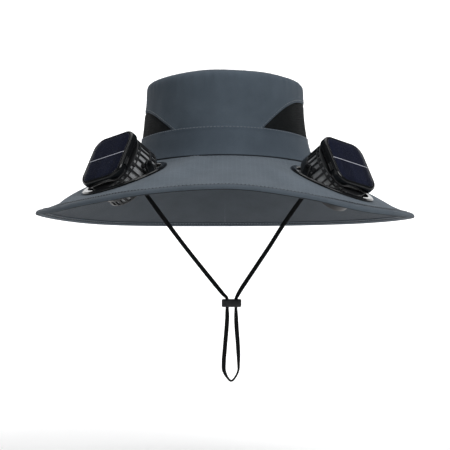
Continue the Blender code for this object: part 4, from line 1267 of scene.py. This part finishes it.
for name, side in SIDES:
    button = bmesh.new()
    bmesh.ops.create_cube(button, size=1)
    bmesh.ops.scale(button, verts=button.verts, vec=(SWITCH_THICKNESS, SWITCH_LENGTH, SWITCH_HEIGHT))
    front = [face for face in button.faces if face.normal.x * -side > 0.9]
    bmesh.ops.inset_region(button, faces=front, thickness=0.55 * MM, depth=0)
    bmesh.ops.inset_region(button, faces=front, thickness=0.1 * MM, depth=-0.6 * MM)
    softened(button, 0.18 * MM, 2, 40)
    across = -side * (PANEL_HALF + CLOTH_GAP + SWITCH_THICKNESS / 2)
    button.transform(Matrix.Translation((across, -SWITCH_OFFSET, (HOUSING_LOW + HOUSING_HIGH) / 2)))
    button.transform(panels[name])
    fitted(name + "_socket_frame", button, [satin_black], name + "_fan",
           [name + "_panel_switch"], 40)


# Floor and light: a plain pale sweep well below the hanging cord, a large soft light from the
# upper right front, weaker ones from the left, above and behind, and a dim pale room.
FLOOR_HEIGHT = -0.34
SWEEP_HALF_WIDTH = 4.0
# Backwards from the hat and upwards from the floor, in metres
SWEEP_SECTION = (
    (-3.0, 0.0), (1.2, 0.0), (1.5, 0.04), (1.7, 0.16), (1.82, 0.36), (1.86, 0.6), (1.86, 1.5),
)
# Each light's name, place, size in metres and power in watts
LIGHTS = (
    ("key_light", (0.9, -1.6, 1.25), 1.1, 28), ("fill_light", (-1.5, -1.2, 0.5), 1.4, 3.5),
    ("top_light", (0.0, -0.1, 1.7), 1.6, 12), ("back_light", (0.0, 1.2, 1.9), 2.0, 8),
)

sweep_paint = finish("pale_sweep", (0.8, 0.8, 0.8), 0.9, Emission_Color=(1, 1, 1, 1))
sweep_place = in_space(sweep_paint)
sweep_back = step(sweep_paint, "SeparateXYZ", {0: sweep_place}, 1)
back_glow = ranged(sweep_paint, sweep_back, -0.2, 0.7, 0.0, 0.75)
sweep_level = step(sweep_paint, "VectorMath", {0: sweep_place, 1: (1, 1, 0)}, operation="MULTIPLY")
sweep_away = step(sweep_paint, "VectorMath", {0: sweep_level}, 1, operation="LENGTH")
far_glow = ranged(sweep_paint, sweep_away, 0.15, 1.3, 0.0, 0.8)
shown_glow = maths(sweep_paint, "MULTIPLY", far_glow, step(sweep_paint, "LightPath", {}))
feed(sweep_paint, Emission_Strength=maths(sweep_paint, "MAXIMUM", back_glow, shown_glow))
sweep = bmesh.new()
line = [sweep.verts.new((-SWEEP_HALF_WIDTH, y, FLOOR_HEIGHT + z)) for y, z in SWEEP_SECTION]
edges = [sweep.edges.new(pair) for pair in zip(line, line[1:])]
drawn = bmesh.ops.extrude_edge_only(sweep, edges=edges)
bmesh.ops.translate(sweep, verts=verts_in(drawn), vec=(2 * SWEEP_HALF_WIDTH, 0, 0))
outwards(sweep)
sweep_data = bpy.data.meshes.new("pale_sweep")
sweep.to_mesh(sweep_data)
sweep.free()
sweep_data.shade_smooth()
sweep_data.materials.append(sweep_paint)
sweep_piece = bpy.data.objects.new("pale_sweep", sweep_data)
bpy.context.collection.objects.link(sweep_piece)

for label, place, size, power in LIGHTS:
    lamp = bpy.data.lights.new(label, "AREA")
    lamp.size = size
    lamp.energy = power
    light = bpy.data.objects.new(label, lamp)
    light.location = place
    light.rotation_euler = Vector(place).to_track_quat("Z", "Y").to_euler()
    bpy.context.collection.objects.link(light)

room = bpy.data.worlds.new("pale_room")
room.use_nodes = True
dim = room.node_tree.nodes["Background"]
dim.inputs["Color"].default_value = (0.92, 0.95, 1.0, 1)
dim.inputs["Strength"].default_value = 0.08
seen = step(room, "Background", {"Color": (0.93, 0.93, 0.93, 1)})
either = step(room, "MixShader", {0: step(room, "LightPath", {}), 1: dim.outputs[0], 2: seen})
room.node_tree.links.new(either, room.node_tree.nodes["World Output"].inputs["Surface"])
bpy.context.scene.world = room
